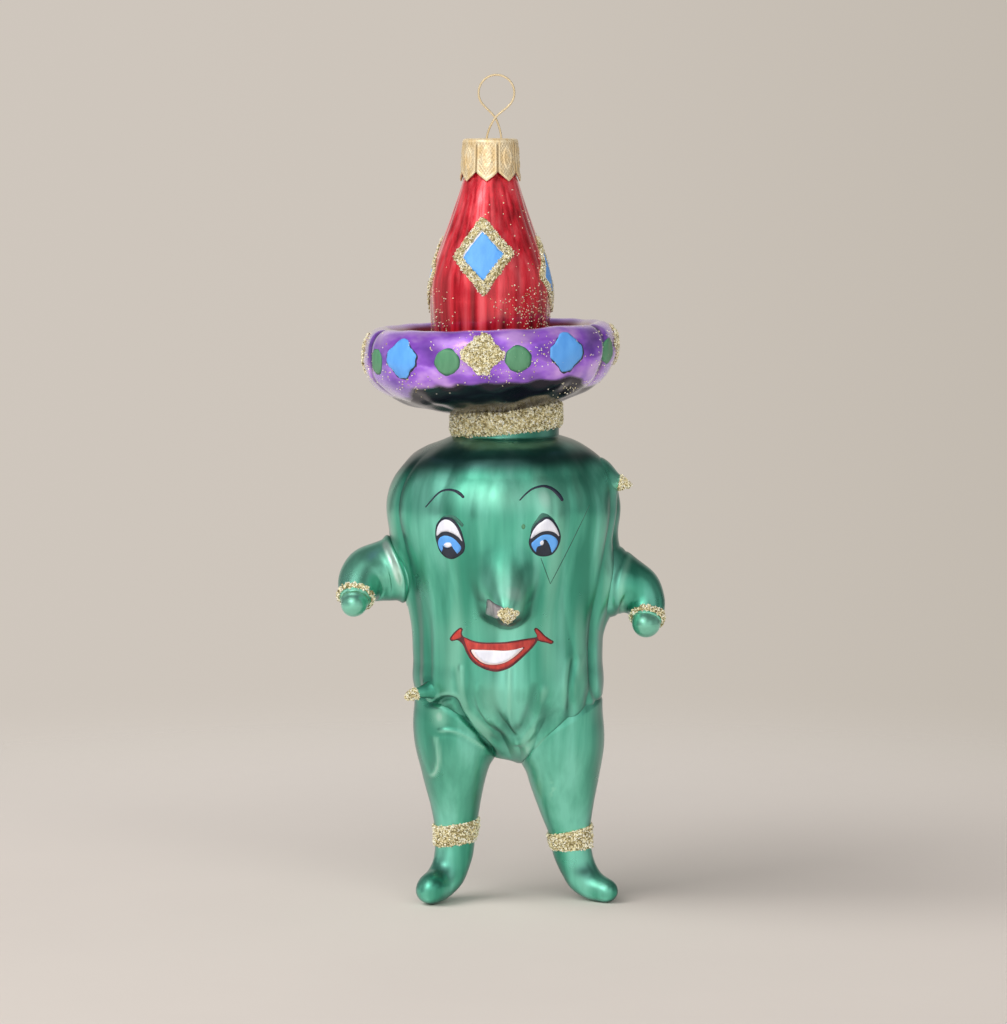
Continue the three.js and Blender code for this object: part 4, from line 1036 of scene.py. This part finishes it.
def grains(places, size, rng):
    """(points, faces) of one faceted grain at each place."""
    count = len(places)
    w, x, y, z = unit(rng.normal(size=(count, 4))).T
    turn = np.array([
        [1 - 2 * (y * y + z * z), 2 * (x * y - z * w), 2 * (x * z + y * w)],
        [2 * (x * y + z * w), 1 - 2 * (x * x + z * z), 2 * (y * z - x * w)],
        [2 * (x * z - y * w), 2 * (y * z + x * w), 1 - 2 * (x * x + y * y)]]).transpose(2, 0, 1)
    corners = CORNERS * (size * rng.uniform(0.6, 1.3, (count, 1, 3))) * rng.uniform(0.8, 1.2, (count, 6, 1))
    points = np.einsum("nij,nkj->nki", turn, corners) + np.asarray(places)[:, None]
    faces = (FACETS[None] + 6 * np.arange(count)[:, None, None]).reshape(-1, 3)
    return points.reshape(-1, 3), [tuple(f) for f in faces.tolist()]


def strewn(points, faces, spacing, rng):
    """Places spread over a surface at random, about one to each square of the spacing, and their normals."""
    triangles = []
    for face in faces:
        triangles.append(face[:3])
        if len(face) == 4:
            triangles.append((face[0], face[2], face[3]))
    a, b, c = (points[[t[k] for t in triangles]] for k in range(3))
    normal = np.cross(b - a, c - a)
    area = np.linalg.norm(normal, axis=1) / 2
    count = max(int(area.sum() / spacing ** 2), 4)
    pick = rng.choice(len(area), count, p=area / area.sum())
    u, v = rng.uniform(size=(2, count))
    over = u + v > 1
    u, v = np.where(over, 1 - u, u)[:, None], np.where(over, 1 - v, v)[:, None]
    return a[pick] + u * (b - a)[pick] + v * (c - a)[pick], unit(normal[pick])


def glitter_piece(name, bed, bed_faces, open_faces, stands_for, seed, size=0.27, spacing=0.33):
    """One piece of the bed and its grains. The grains lie on the bed's open faces."""
    rng = np.random.default_rng(seed)
    places, normals = strewn(bed, open_faces, spacing, rng)
    count = len(places)
    places = places + normals * rng.uniform(-0.05, 0.22, (count, 1)) + rng.normal(0, 0.03, (count, 3))
    chips, chip_faces = grains(places, size, rng)
    faces = [*bed_faces, *(tuple(k + len(bed) for k in face) for face in chip_faces)]
    piece = add_piece(name, np.vstack([bed, chips]), faces, GUM, "gold_glitter", stands_for=[stands_for],
                      flat_from=len(bed_faces))
    piece.data.materials.append(GLITTER)
    of_foil = np.arange(len(faces)) >= len(bed_faces)
    piece.data.polygons.foreach_set("material_index", of_foil.astype(np.int32))


def glitter_band(name, grid, stands_for, seed, thickness, **grain):
    """Glitter round a stretch of a grid's rows."""
    normals = normals_of(grid)
    share = np.linspace(0, 1, len(grid))[:, None]
    bulge = thickness * (1 - np.abs(2 * share - 1) ** 6) + 0.07 * waves(seed, grid, (1.4, 1.4, 1.4))
    points, faces = sleeve(np.concatenate([(grid - normals * 0.1)[::-1], grid + normals * bulge[..., None]]))
    open_faces = [f for f in faces if min(f) >= grid.shape[0] * grid.shape[1]]
    glitter_piece(name, points, faces, open_faces, stands_for, seed, **grain)


def glitter_cup(name, grid, stands_for, seed, thickness, **grain):
    """Glitter over the round end of a limb, whose last row is a pole."""
    rise = thickness + 0.06 * waves(seed, grid, (1.2, 1.2, 1.2))
    rise[0] = 0.05
    rise[-1] = thickness
    floor = np.tile(grid[0].mean(axis=0), (1, grid.shape[1], 1))
    points, faces = skin(np.concatenate([floor, grid + normals_of(grid) * rise[..., None]]))
    open_faces = [f for f in faces if 0 not in f]
    glitter_piece(name, points, faces, open_faces, stands_for, seed, **grain)


def ring_rows(name, first, last):
    """The rows of a limb's grid between two stations."""
    return limb_grids[name][1 + round(first * STEPS):2 + round(last * STEPS)]


def slanted_rows(name, top, foot, count=18):
    """Rows round a leg between two slanting planes, each (height at the leg's middle, climb to +X)."""
    grid = limb_grids[name][1 + 3 * STEPS:1 + 7 * STEPS]
    rows, columns = grid.shape[:2]
    middle = grid[rows // 2, :, 0].mean()
    bands = []
    for share in np.linspace(0, 1, count):
        height, climb = (1 - share) * np.array(top) + share * np.array(foot)
        row = []
        for column in range(columns):
            line = grid[:, column]
            over = line[:, 2] - climb * (line[:, 0] - middle)
            at = np.interp(-height, -over, np.arange(rows))
            row.append([np.interp(at, np.arange(rows), axis) for axis in line.T])
        bands.append(row)
    return np.array(bands)


def neck_rows():
    """Rows round the neck, which lean more than the brim that they end under."""
    angle = turns(160)
    x, y = NECK_X + NECK_RADIUS * np.cos(angle), NECK_RADIUS * np.sin(angle)
    foot = NECK_FOOT + NECK_RADIUS * LEAN + 0.1
    climbs = 0.085 + 0.02 * np.linspace(0, 1, 20)
    heights = foot + np.linspace(0, 1, 20) * (BRIM_FOOT - NECK_FOOT - 0.6)
    return np.array([np.column_stack([x, y, z + (x - HAT_X) * climb]) for z, climb in zip(heights, climbs)])


# Name, rows, seed, thickness, and the size of the grains where it isn't the usual one.
for name, rows, seed, thickness, grain in (
        ("neck", neck_rows(), 41, 0.6, {}),
        ("left_wrist", ring_rows("left_arm", 4.27, 4.5), 42, 0.35, {}),
        ("right_wrist", ring_rows("right_arm", 3.85, 4.4), 43, 0.35, {}),
        ("left_ankle", slanted_rows("left_leg", (17.3, 0.15), (12.5, 0.15)), 44, 0.3, {"size": 0.24}),
        ("right_ankle", slanted_rows("right_leg", (15.7, 0.24), (11.3, 0.06)), 45, 0.3, {"size": 0.24})):
    glitter_band(f"{name}_band", rows, f"{name}_glitter", seed, thickness, **grain)
for thorn, start, seed in (("upper_thorn", 2.15, 46), ("lower_thorn", 1.9, 47)):
    rows = limb_grids[thorn][1 + round(start * STEPS):]
    glitter_cup(f"{thorn}_tip", rows, f"{thorn}_glitter", seed, 0.16, size=0.2, spacing=0.2)


def glitter_patch(name, tree, outline, view, stands_for, seed, lift, holes=(), **grain):
    points, faces, tops = laid(tree, outline, view, lift, 0.45, holes, wobble=0.06)
    glitter_piece(name, points, faces, faces[:tops], stands_for, seed, **grain)


def rhombus(width, height, up, across=0.0, rounding=0.1, tilt=0.0, seed=0, ragged=0.0):
    """A lozenge drawn by hand: straight sides, softened corners and a slightly uneven edge."""
    corners = np.array([(width / 2, 0), (0, height / 2), (-width / 2, 0), (0, -height / 2)])
    shares = (rounding / 2, rounding, 0.3, 0.5, 0.7, 1 - rounding, 1 - rounding / 2)
    points = [a + (b - a) * share for a, b in zip(corners, np.roll(corners, -1, 0)) for share in shares]
    outline = round_outline(points, 96)
    along = np.column_stack([outline, np.zeros(len(outline))])
    outline = outline + ragged * np.column_stack([waves(seed + k, along, (1.6, 1.6, 1)) for k in (0, 1)])
    c, s = math.cos(math.radians(tilt)), math.sin(math.radians(tilt))
    return outline @ np.array([[c, s], [-s, c]]) + (across, up)


# Thickness of the glitter marks: the front one, and the others, which are flatter.
CROWN_LIFT, CROWN_SIDE_LIFT = 0.42, 0.22
BRIM_LIFT, BRIM_SIDE_LIFT = 0.4, 0.2
CROWN_MARK_HEIGHTS = [19.8, 15.6, 19.8, 15.6]
CROWN_TILT = 4
for k, rise in enumerate(CROWN_MARK_HEIGHTS):
    number = k + 1
    view = facing(CROWN_TURN + k * math.pi / 2 + (0.05 if k == 1 else 0), (HAT_X, 0))
    z = CROWN_FOOT + rise
    frame_edge = rhombus(13.1, 17.1, z, tilt=CROWN_TILT, seed=50 + k, ragged=0.1)
    opening = rhombus(8.9, 10.8, z + 0.1, -0.1, 0.08, CROWN_TILT)[::-1]
    glitter_patch(f"crown_border_{number}", crown_tree, frame_edge, view, f"crown_frame_{number}", 70 + k,
                  CROWN_SIDE_LIFT if k else CROWN_LIFT, [opening], size=0.19, spacing=0.24)
    ground = rhombus(9.6, 11.6, z + 0.2, -0.2, 0.08, CROWN_TILT)
    paint(f"crown_ground_{number}", ground, 0.16, WHITE, "white_enamel", view=view, tree=crown_tree)
    lozenge = rhombus(8.8, 10.4, z - 0.1, 0.1, 0.06, CROWN_TILT, 90 + k, 0.08)
    paint(f"crown_blue_{number}", lozenge, 0.24, BLUE, "blue_enamel", [f"crown_lozenge_{number}"], view,
          crown_tree, base=0.14)


def dot(diameter, up, seed, across=0.0, ragged=0.06):
    turn = turns(72)
    ring = np.column_stack([np.cos(turn), np.sin(turn), 0 * turn])
    reach = diameter / 2 + ragged * waves(seed, ring * 3, (2.2, 2.2, 1))
    return np.column_stack([across + reach * np.cos(turn), up + reach * np.sin(turn)])


MARK_KINDS = ["diamond", "dot", "lozenge", "dot"]
MARK_RISES = {"diamond": 13.0, "dot": 11.8, "lozenge": 12.5}
# Where each mark was put by hand: degrees round the brim from the diamond in front.
MARK_TURNS = [0, 16, 40, 72, 90, 106, 130, 152, 180, 196, 220, 242, 270, 301, 320, 344]
for k, degrees in enumerate(MARK_TURNS):
    kind = MARK_KINDS[k % len(MARK_KINDS)]
    angle = BRIM_TURN + math.radians(degrees)
    view = facing(angle, (HAT_X, 0))
    rise = MARK_RISES[kind]
    z = BRIM_FOOT + rise + BRIM_RADIUS * math.sin(angle) * brim_lean(rise)
    node = f"brim_{kind}_{k + 1:02d}"
    if kind == "diamond":
        outline = rhombus(10.4, 9.6, z, rounding=0.3, seed=100 + k, ragged=0.25)
        glitter_patch(f"{node}_glitter", brim_tree, outline, view, node, 120 + k,
                      BRIM_SIDE_LIFT if k else BRIM_LIFT, size=0.2, spacing=0.25)
        continue
    if kind == "dot":
        edge, under = dot(5.55, z, 140 + k, 0.06, 0.1), SHADE
        middle, finish, slot = dot(5.3, z, 160 + k), LEAF, "leaf_enamel"
    else:
        edge, under = rhombus(10.7, 10.3, z - 0.15, 0.15, 0.4, seed=180 + k, ragged=0.14), INK
        middle, finish, slot = rhombus(10.2, 9.9, z, 0, 0.4, seed=200 + k, ragged=0.1), BLUE, "blue_enamel"
    paint(f"{node}_edge", edge, 0.05, under, "purple_glass", view=view, tree=brim_tree)
    paint(f"{node}_paint", middle, 0.16, finish, slot, [node], view, brim_tree)

glitter_patch("nose_sparkle", figure_tree, round_outline(NOSE_SPOT, 48), facing(), "nose_glitter", 220, 0.35,
              size=0.2, spacing=0.25)
# A grey patch by the tip of the nose.
paint("nose_grey_patch", round_outline(NOSE_GREY_PATCH, 60), 0.06, NOSE_PATCH_FINISH, "white_enamel", pitch=0.3)
paint("nose_bead", round_outline(NOSE_BEAD, 30), 0.4, SHADE, "green_glass", pitch=0.25)


def sprinkle(name, tree, seed, patches):
    """Loose grains on the glass. A patch is (degrees from the front, spread, height, spread, count)."""
    rng = np.random.default_rng(seed)
    places = []
    for degrees, turn_spread, height, spread, count in patches:
        for _ in range(count):
            angle = math.radians(degrees + turn_spread * rng.normal())
            ground = cast(tree, [(0, height + spread * rng.normal())], facing(angle, (HAT_X, 0)))[0][0]
            if abs(ground[0] - HAT_X) + abs(ground[1]) > 2:
                places.append(ground)
    points, faces = grains(places, 0.19, rng)
    add_piece(name, points, faces, GLITTER, "gold_glitter", flat_from=0)


sprinkle("crown_specks", crown_tree, 230, [
    (46, 19, CROWN_FOOT + 8, 3, 230), (75, 14, CROWN_FOOT + 13, 4, 55), (-60, 14, CROWN_FOOT + 7, 3.2, 60),
    (40, 30, CROWN_FOOT + 22, 7, 40), (180, 60, CROWN_FOOT + 7, 3, 60)])
sprinkle("brim_specks", brim_tree, 231, [
    (24, 10, BRIM_FOOT + 13, 2.2, 70), (-14, 12, BRIM_FOOT + 15, 1.4, 40), (0, 9, BRIM_FOOT + 8.5, 1.2, 40),
    (68, 14, BRIM_FOOT + 12, 2.5, 70), (-78, 12, BRIM_FOOT + 11, 3, 60), (-42, 9, BRIM_FOOT + 6.5, 1.2, 40),
    (48, 8, BRIM_FOOT + 5.5, 1, 30), (180, 70, BRIM_FOOT + 11, 3, 60)])


# The cap: thin brass pressed into petals, each with a raised border and an embossed oval.

PETALS, COLUMNS_TO_PETAL = 8, 36
CAP_RADIUS, CAP_BEND, CAP_SHEET = 5.95, 0.7, 0.32
CAP_CROWNING = 0.1  # how far the top sinks from its middle to the bend
PETAL_FOOT, PETAL_POINT = 7.0, 2.1  # from the cap's top to the petal's corners, and on to its point
HALF_PETAL = 2.45


def petal_relief(across, down, tip):
    """Height of the pressed pattern: the seam between petals, the border, the oval and its pebbles."""
    from_seam = (1 - np.abs(across)) * HALF_PETAL
    edge = np.minimum(from_seam, (tip - down) * 0.8 + 0.02)
    seam = -0.2 * bump(from_seam, 0.2) * smooth(down, 0.9, 1.8)
    border = 0.11 * bump(edge - 0.42, 0.14) * smooth(down, 1.0, 1.6)
    oval = np.hypot(across * HALF_PETAL / 1.15, (down - 4.1) / 2.35)
    boss = 0.16 * bump(oval - 0.82, 0.16) + 0.1 * bump(oval, 0.45)
    pebbles = 0.05 * np.sin(9 * across * HALF_PETAL) * np.sin(6.5 * down) * smooth(edge, 0.6, 0.9)
    return seam + border + boss + pebbles


def cap_surface():
    """(grid, valley) of the sheet: its outside from the middle down, then its inside back up."""
    index = np.arange(PETALS * COLUMNS_TO_PETAL)
    angle = turns(len(index)) + CAP_TURN + math.pi / PETALS
    across = (index % COLUMNS_TO_PETAL) / COLUMNS_TO_PETAL * 2 - 1
    tip = PETAL_FOOT + PETAL_POINT * (1 - np.abs(across)) ** 0.85
    level, flat_to = 0 * angle, CAP_RADIUS - CAP_BEND
    outside = [(level + r, level + CAP_CROWNING * (r / CAP_RADIUS) ** 2, level)
               for r in np.linspace(0, flat_to, 14)]
    for bend in np.linspace(0, math.pi / 2, 7)[1:]:
        outside.append((level + flat_to + CAP_BEND * math.sin(bend),
                        level + CAP_CROWNING + CAP_BEND * (1 - math.cos(bend)), level))
    shoulder = CAP_CROWNING + CAP_BEND
    for share in np.linspace(0, 1, 46)[1:]:
        down = shoulder + (tip - shoulder) * share
        relief = petal_relief(across, down, tip)
        flare = 0.55 * np.clip(down / (PETAL_FOOT + PETAL_POINT), 0, 1) ** 2
        outside.append((CAP_RADIUS + flare + relief, down, np.clip(-(relief - 0.03) / 0.12, 0, 1)))
    inside = [(np.maximum(r - CAP_SHEET, 0) * (r > 0.5), np.where(d < 0.9, d + CAP_SHEET, d), level + 0.5)
              for r, d, _ in outside[::-1]]
    inside[-1] = (level, level + CAP_SHEET, level + 0.5)
    sheet = (outside + inside)[::-1]
    grid = [np.column_stack([HAT_X + r * np.cos(angle), r * np.sin(angle), CAP_TOP - d]) for r, d, _ in sheet]
    return np.array(grid), np.array([valley for _, _, valley in sheet])


cap_grid, cap_valley = cap_surface()
add_grid("cap_shell", cap_grid, CAP, "cap_metal", "cap", "cap", valley=cap_valley)


# The hanger wire, sprung into the spout.

CAD_WIRE, WIRE_RADIUS = 0.7, 0.225  # the CAD's thickness, which the route keeps clear, and the one shown
EYE_X, EYE_RADIUS, EYE_HEIGHT = HAT_X + 1.3, 3.8, 9.6
LEGS_X, LEG_SPACING, LEG_DEPTH, LEG_SPLAY = HAT_X + 0.8, 2.9, 19, 3.4
CROSSING_X, CROSSING_Y, CROSSING_HEIGHT = (LEGS_X + EYE_X) / 2, (CAD_WIRE + 0.45) / 2, 4.3
EYE_STEPS = 14


def wire_leg(way):
    """Points up one leg, from its splayed end in the spout to the crossing over the cap."""
    x = LEGS_X + way * LEG_SPACING / 2
    return [(HAT_X + way * LEG_SPLAY, 0, CAP_TOP - LEG_DEPTH), (x, 0, CAP_TOP - 5.2), (x, 0, CAP_TOP - 2.6),
            (x, 0, CAP_TOP + CAD_WIRE), (CROSSING_X, way * CROSSING_Y, CAP_TOP + CROSSING_HEIGHT)]


def wire_line():
    eye = []
    for step in range(EYE_STEPS + 1):
        angle = math.radians(-50 + 280 * step / EYE_STEPS)
        eye.append((EYE_X + EYE_RADIUS * math.cos(angle), CROSSING_Y * (-1 + 2 * step / EYE_STEPS),
                    CAP_TOP + EYE_HEIGHT + EYE_RADIUS * math.sin(angle)))
    return even(catmull([*wire_leg(-1), *eye, *wire_leg(1)[::-1]], 20), 420)


wire = wire_line()
wire_grid = tube(wire, np.full(len(wire), WIRE_RADIUS), 16, 5)
unworn = np.zeros(wire_grid.shape[:2])
add_grid("hanger_loop", wire_grid, WIRE, "wire", "hanger_wire", "hanger", valley=unworn)


# Floor, light and camera.

def floor_recipe(n):
    """Pale matt paper that gives way to the backdrop, for the camera, away from the figure."""
    place = n.add("ShaderNodeTexCoord").outputs["Object"]
    far = n.add("ShaderNodeVectorMath", {0: place}, operation="LENGTH").outputs["Value"]
    fade = n.range(far, 0.10, 0.34, ease="SMOOTHSTEP")
    seen = n.part(fade, n.add("ShaderNodeLightPath").outputs["Is Camera Ray"])
    paper = n.ramp(n.noise(14, 4), (0.35, (0.715, 0.666, 0.632)), (0.65, (0.730, 0.680, 0.645)))
    ahead = n.along(place, 1)
    # Painted light: the paper paler towards the camera.
    paper = n.mix(n.range(ahead, -0.11, -0.26), paper, (0.92, 0.88, 0.84))
    paper = n.mix(n.range(ahead, 0.0, 0.30, ease="SMOOTHSTEP"), paper, (0.88, 0.84, 0.81))
    matt = n.add("ShaderNodeBsdfDiffuse", {"Color": paper, "Normal": n.relief(n.noise(900, 3), 0.0001, 0.2)})
    clear = n.add("ShaderNodeBsdfTransparent")
    both = n.add("ShaderNodeMixShader", {0: seen, 1: matt.outputs[0], 2: clear.outputs[0]})
    n.add("ShaderNodeOutputMaterial", {"Surface": both.outputs[0]})


def add_floor():
    columns, radii, level = 96, (0, 150, 400, 760), -0.05
    angle = turns(columns)
    circle = np.column_stack([np.cos(angle), np.sin(angle), 0 * angle])
    rings = np.array([r * circle + level * UP for r in radii])
    index = 1 + np.arange(3 * columns).reshape(3, columns)
    right = np.roll(index, -1, 1)
    faces = [(0, int(a), int(b)) for a, b in zip(index[0], right[0])]
    quads = np.stack([index[:-1], index[1:], right[1:], right[:-1]], axis=-1).reshape(-1, 4)
    faces += [tuple(q) for q in quads.tolist()]
    mesh = bpy.data.meshes.new("floor")
    mesh.from_pydata(metres(np.vstack([rings[0, :1], rings[1:].reshape(-1, 3)])).tolist(), [], faces)
    mesh.materials.append(material("floor_paper", floor_recipe))
    floor = bpy.data.objects.new("floor", mesh)
    bpy.context.scene.collection.objects.link(floor)


SOFT_LIGHTS = [  # (direction, how many degrees it reaches, strength)
    ((-0.38, -0.76, 0.60), 42, 1.05), ((-0.42, -0.75, 0.55), 13, 2.3), ((0.60, -0.70, 0.25), 28, 0.50),
    ((-0.95, 0.05, 0.10), 30, 0.25), ((0.95, 0.10, 0.10), 24, 0.20), ((0.0, 1.0, 0.05), 52, 0.55),
    ((0.0, -1.0, -0.12), 42, 0.62),
]
ROOM_LEVEL = 0.10


def studio(n):
    """A dim room with large soft lights: high in front, on both sides, and the lit backdrop behind."""
    direction = n.add("ShaderNodeTexCoord").outputs["Generated"]
    level = ROOM_LEVEL
    for towards, reach, strength in SOFT_LIGHTS:
        axis = tuple(unit(np.array(towards)))
        node = n.add("ShaderNodeVectorMath", {0: direction, 1: axis}, operation="DOT_PRODUCT")
        edge = math.cos(math.radians(reach))
        spot = n.range(node.outputs["Value"], edge, 1.0, 0.0, strength, "SMOOTHSTEP")
        level = n.maths("ADD", level, spot)
    room = n.add("ShaderNodeBackground", {"Color": (1.0, 0.965, 0.925, 1), "Strength": level})
    paper = n.ramp(n.range(n.along(direction, 0), -0.14, 0.14), (0.0, (0.623, 0.567, 0.508)),
                   (0.45, (0.610, 0.555, 0.494)), (1.0, (0.541, 0.491, 0.431)))
    backdrop = n.add("ShaderNodeBackground", {"Color": paper, "Strength": 1.0})
    path = n.add("ShaderNodeLightPath").outputs
    behind = n.range(n.along(direction, 1), 0.7, 0.95)
    glossy = n.part(n.maths("MAXIMUM", path["Is Glossy Ray"], path["Is Transmission Ray"]), behind)
    seen = n.maths("MAXIMUM", path["Is Camera Ray"], glossy)
    both = n.add("ShaderNodeMixShader", {0: seen, 1: room.outputs[0], 2: backdrop.outputs[0]})
    n.add("ShaderNodeOutputWorld", {"Surface": both.outputs[0]})


def placed(name, data, place, target):
    """An object at a place in metres that looks at a target."""
    thing = bpy.data.objects.new(name, data)
    thing.location = place
    thing.rotation_euler = (Vector(target) - thing.location).to_track_quat("-Z", "Y").to_euler()
    bpy.context.scene.collection.objects.link(thing)
    return thing


def add_lamp(name, place, size, watts):
    light = bpy.data.lights.new(name, "AREA")
    light.shape = "SQUARE"
    light.size = size
    light.energy = watts
    light.color = (1.0, 0.97, 0.93)
    placed(name, light, place, (0, 0, 0.08)).visible_glossy = False


add_floor()
world = bpy.data.worlds.new("studio")
world.use_nodes = True
studio(Nodes(world.node_tree))
bpy.context.scene.world = world
add_lamp("key", (-0.85, -0.35, 0.9), 0.95, 11.8)
add_lamp("fill", (0.35, -0.95, 0.5), 1.1, 5.4)

# The camera stands 0.8 m in front, as high as the spout, and looks down to the height of the eyes.
lens = bpy.data.cameras.new("camera")
lens.lens = 131.47
lens.sensor_width = 36
lens.clip_start = 0.01
camera = placed("camera", lens, metres((0, -800, 162)), metres((0, 0, 84.8)))
bpy.context.scene.camera = camera
bpy.context.scene.view_settings.view_transform = "Standard"
